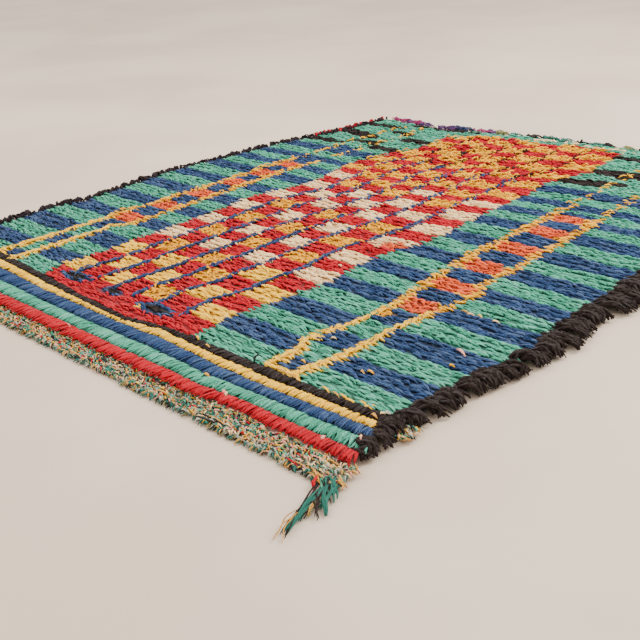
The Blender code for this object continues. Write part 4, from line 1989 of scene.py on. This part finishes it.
@dataclass
class CornerTassel:
    """The loose knotted ends that lie on the floor at the front right corner.

    Attributes:
        height: how high they rise near the knot.
        root: their roots' height.
        tip: their tips' height.
        curl: how far a strand waves.
        plies: how many plies each strand is split into.
        ply_share: a ply's thickness, as a share of the strand's.
        ply_gap: how far the plies stray from the strand.
        seed: their seed.
        strands: the strands.
    """

    height: float = 0.0100
    root: float = 0.0050
    tip: float = 0.0030
    curl: float = 0.0016
    plies: int = 3
    ply_share: float = 0.50
    ply_gap: float = 0.0024
    seed: int = 101
    strands: tuple[TasselStrand, ...] = (
        TasselStrand(Yarn.TEAL, (1.316, -0.030), (1.350, -0.132), 0.0070, -0.05),
        TasselStrand(Yarn.TEAL, (1.318, -0.034), (1.343, -0.112), 0.0052, 0.04),
        TasselStrand(Yarn.BLACK, (1.310, -0.032), (1.350, -0.138), 0.0046, 0.10),
        TasselStrand(Yarn.BLACK, (1.322, -0.040), (1.346, -0.100), 0.0044, -0.10),
        TasselStrand(Yarn.OCHRE, (1.335, -0.095), (1.345, -0.152), 0.0030, 0.16),
        TasselStrand(Yarn.BLACK, (1.326, -0.046), (1.352, -0.094), 0.0050, 0.22),
        TasselStrand(Yarn.OLIVE, (1.318, -0.040), (1.349, -0.090), 0.0046, -0.16),
        TasselStrand(Yarn.TEAL, (1.324, -0.026), (1.353, -0.082), 0.0086, 0.16),
        TasselStrand(Yarn.TEAL, (1.326, -0.030), (1.350, -0.072), 0.0066, -0.14),
        TasselStrand(Yarn.TEAL, (1.318, -0.014), (1.342, -0.052), 0.0078, 0.12),
        TasselStrand(Yarn.GREEN, (1.305, -0.028), (1.330, -0.050), 0.0076, 0.24),
        TasselStrand(Yarn.TEAL, (1.304, -0.022), (1.332, -0.040), 0.0066, -0.26),
        TasselStrand(Yarn.BLACK, (1.312, -0.020), (1.338, -0.058), 0.0042, 0.20),
        TasselStrand(Yarn.RED, (1.296, -0.028), (1.313, -0.056), 0.0050, 0.10),
        TasselStrand(Yarn.OCHRE, (1.280, -0.024), (1.318, -0.036), 0.0056, -0.14),
        TasselStrand(Yarn.OCHRE, (1.322, -0.012), (1.340, -0.026), 0.0070, 0.10),
        TasselStrand(Yarn.OCHRE, (1.330, -0.068), (1.348, -0.092), 0.0036, -0.20),
    )

    def make(self, loom: Loom) -> list[bpy.types.Object]:
        """Makes the tassel's pieces.

        Args:
            loom: what makes the strands.

        Returns:
            The pieces.
        """
        pick = np.random.default_rng(self.seed)
        strands = [strand for strand in self.strands for _ in range(self.plies)]
        count = len(strands)
        start = np.array([strand.start for strand in strands])
        start = start + self.ply_gap * pick.normal(0, 1, (count, 2))
        tip = np.array([strand.tip for strand in strands])
        tip = tip + self.ply_gap * pick.normal(0, 1, (count, 2))
        run = tip - start
        thickness = np.array([strand.thickness for strand in strands]) * self.ply_share
        bow = np.array([strand.bow for strand in strands])
        tufts = Tufts.even(
            count, across=(start[:, 0] + tip[:, 0]) / 2, along=(start[:, 1] + tip[:, 1]) / 2,
            heading=np.arctan2(run[:, 1], run[:, 0]), length=np.hypot(run[:, 0], run[:, 1]),
            thickness=thickness, root=self.root, crest=self.height * pick.uniform(0.7, 1.0, count),
            tip=self.tip, peak=0.28, bow=bow + pick.normal(0, 0.05, count), curl=self.curl,
            tint=pick.uniform(0, 0.70, count),
            yarn=np.array([CODE[strand.yarn] for strand in strands]),
        )
        return loom.weave_by_yarn("tassel", tufts, self.seed, "corner_tassel")


@dataclass(frozen=True)
class SoftLight:
    """One large soft light that faces the rug.

    Attributes:
        name: its name.
        place: where it hangs.
        size: its width.
        power: its strength in watts.
    """

    name: str
    place: tuple[float, float, float]
    size: float
    power: float


@dataclass
class Studio:
    """A plain pale floor, plain soft light, and a camera at the photographed angle.

    Attributes:
        camera_place: where the camera stands.
        heading: how far it is turned to the left.
        pitch: how far it looks down.
        roll: how far it is tipped.
        lens: its focal length in millimetres.
        sensor: its sensor's width in millimetres.
        floor_size: the floor's width.
        floor_drop: how far it lies below the rug.
        floor_shades: its two shades.
        floor_clouds: how they blend.
        lights: the soft lights.
        daylight: the colour of the light all round.
        daylight_power: its strength.
    """

    camera_place: tuple[float, float, float] = (1.406, -1.551, 0.683)
    heading: float = math.radians(46.0)
    pitch: float = math.radians(23.76)
    roll: float = math.radians(-3.35)
    lens: float = 55.78
    sensor: float = 36.0
    floor_size: float = 60.0
    floor_drop: float = 0.0005
    floor_shades: tuple[tuple[float, float, float], ...] = ((0.80, 0.71, 0.62), (0.85, 0.77, 0.68))
    floor_clouds: Ramp = Ramp(0.35, 0.65)
    lights: tuple[SoftLight, ...] = (
        SoftLight("key", (1.6, 2.2, 2.8), 2.2, 210.0),
        SoftLight("fill", (-1.8, -2.2, 2.4), 3.0, 85.0),
    )
    daylight: tuple[float, float, float, float] = (1.0, 0.98, 0.95, 1.0)
    daylight_power: float = 1.5

    def make(self) -> None:
        """Makes the floor, the lights and the camera."""
        self.make_floor()
        self.make_camera()
        for lamp in self.lights:
            self.make_light(lamp)
        world = bpy.data.worlds.new("studio")
        world.use_nodes = True
        background = world.node_tree.nodes["Background"]
        background.inputs["Color"].default_value = self.daylight
        background.inputs["Strength"].default_value = self.daylight_power
        bpy.context.scene.world = world

    def make_floor(self) -> None:
        """Makes the floor."""
        form = bmesh.new()
        bmesh.ops.create_grid(form, x_segments=1, y_segments=1, size=self.floor_size / 2)
        bmesh.ops.translate(form, verts=form.verts[:], vec=(0.0, 0.0, -self.floor_drop))
        mesh = bpy.data.meshes.new("floor")
        form.to_mesh(mesh)
        form.free()
        material = bpy.data.materials.new("pale_floor")
        material.use_nodes = True
        tools = NodeTools(material.node_tree)
        shader = material.node_tree.nodes["Principled BSDF"]
        place = tools.add("ShaderNodeTexCoord").outputs["Object"]
        cloud = tools.share(tools.noise(place, 1.4, 4.0), self.floor_clouds)
        first, second = (linear(shade) for shade in self.floor_shades)
        tools.join(tools.mix(cloud, first, second), shader.inputs["Base Color"])
        shader.inputs["Roughness"].default_value = 0.6
        mesh.materials.append(material)
        floor = bpy.data.objects.new("floor", mesh)
        bpy.context.scene.collection.objects.link(floor)

    @staticmethod
    def make_light(lamp: SoftLight) -> None:
        """Makes one light.

        Args:
            lamp: which light.
        """
        data = bpy.data.lights.new(lamp.name, "AREA")
        data.shape = "DISK"
        data.size = lamp.size
        data.energy = lamp.power
        light = bpy.data.objects.new(lamp.name, data)
        light.location = lamp.place
        light.rotation_euler = (-Vector(lamp.place)).to_track_quat("-Z", "Y").to_euler()
        bpy.context.scene.collection.objects.link(light)

    def make_camera(self) -> None:
        """Makes the camera."""
        ahead_on_floor = Vector((-math.sin(self.heading), math.cos(self.heading), 0.0))
        level_right = Vector((math.cos(self.heading), math.sin(self.heading), 0.0))
        ahead = ahead_on_floor * math.cos(self.pitch) - Vector((0, 0, 1)) * math.sin(self.pitch)
        above = ahead_on_floor * math.sin(self.pitch) + Vector((0, 0, 1)) * math.cos(self.pitch)
        right = level_right * math.cos(self.roll) + above * math.sin(self.roll)
        upward = above * math.cos(self.roll) - level_right * math.sin(self.roll)
        data = bpy.data.cameras.new("camera")
        data.lens = self.lens
        data.sensor_width = self.sensor
        data.sensor_fit = "HORIZONTAL"
        camera = bpy.data.objects.new("camera", data)
        turn = Matrix((right, upward, -ahead)).transposed().to_4x4()
        camera.matrix_world = Matrix.Translation(Vector(self.camera_place)) @ turn
        bpy.context.scene.collection.objects.link(camera)
        bpy.context.scene.camera = camera


def side_shags(plan: RugPlan) -> tuple[SideShag, ...]:
    """Lists the shags: the right one, the left selvedge, and the red yarn at its far end.

    Args:
        plan: the rug's chart.

    Returns:
        The shags.
    """
    right = SideShag(
        "right_shag_yarn", "right_shag", Yarn.BLACK, plan.right, side=1.0,
        reach=Outline(
            (0.04, 0.09, 0.12, 0.20, 0.27, 0.35, 0.43, 0.47, 0.50, 0.60, 1.60),
            (0.030, 0.040, 0.026, 0.034, 0.028, 0.036, 0.026, 0.044, 0.052, 0.049, 0.048),
        ),
        inset=-0.003,
        depth=Outline((0.04, 0.12, 0.50, 0.60, 0.80, 1.60), (0.014, 0.020, 0.024, 0.024, 0.046, 0.046)),
        spacing=0.00066, lock=0.015, crest=0.0172, thickness=0.0064, curl=0.0050,
        ends=(0.040, 1.600), seed=71,
    )
    left = SideShag(
        "left_selvedge_yarn", "left_shag", Yarn.SELVEDGE, plan.left, side=-1.0,
        reach=Outline((0.0, 1.5), (0.012, 0.012)), inset=0.003, depth=Outline((0.0, 1.5), (0.013, 0.013)),
        spacing=0.0020, lock=0.012, crest=0.0190, thickness=0.0050, curl=0.0024, ends=(0.004, 1.500),
        seed=72,
    )
    red = replace(
        left, name="left_selvedge_red", yarn=Yarn.RED, inset=0.0, depth=Outline((1.2, 1.5), (0.008, 0.008)),
        spacing=0.0036, crest=0.0205, curl=0.0020, ends=(1.235, 1.500), seed=73,
    )
    return right, left, red


def main() -> None:
    """Builds the rug's pieces in order."""
    logging.basicConfig(level=logging.INFO, format="%(name)s: %(message)s")
    Studio().make()
    plan = RugPlan()
    shop = YarnShop()
    loom = Loom(shop, segments=3, flat=0.72)
    hank_loom = Loom(shop, flat=0.72)
    long_loom = Loom(shop, segments=6)
    tassel_loom = Loom(shop, sides=6, segments=12, flat=0.95)
    ground = GroundWeave()
    sheet = ground.make(plan, shop)
    pieces = PileField().make(plan, loom)
    pieces += ThinLines().make(plan, loom)
    pieces += FrontStripes().make(plan, hank_loom)
    for shag in side_shags(plan):
        pieces += shag.make(long_loom)
    pieces += RagSkirt().make(plan, loom)
    pieces += LooseStrands().make(loom)
    pieces += FarKnots().make(plan, long_loom)
    pieces += CornerTassel().make(tassel_loom)
    triangles = sum(len(piece.data.loops) - 2 * len(piece.data.polygons) for piece in [sheet, *pieces])
    log.info("%d pieces, %d triangles", len(pieces) + 1, triangles)


if __name__ == "__main__":
    main()
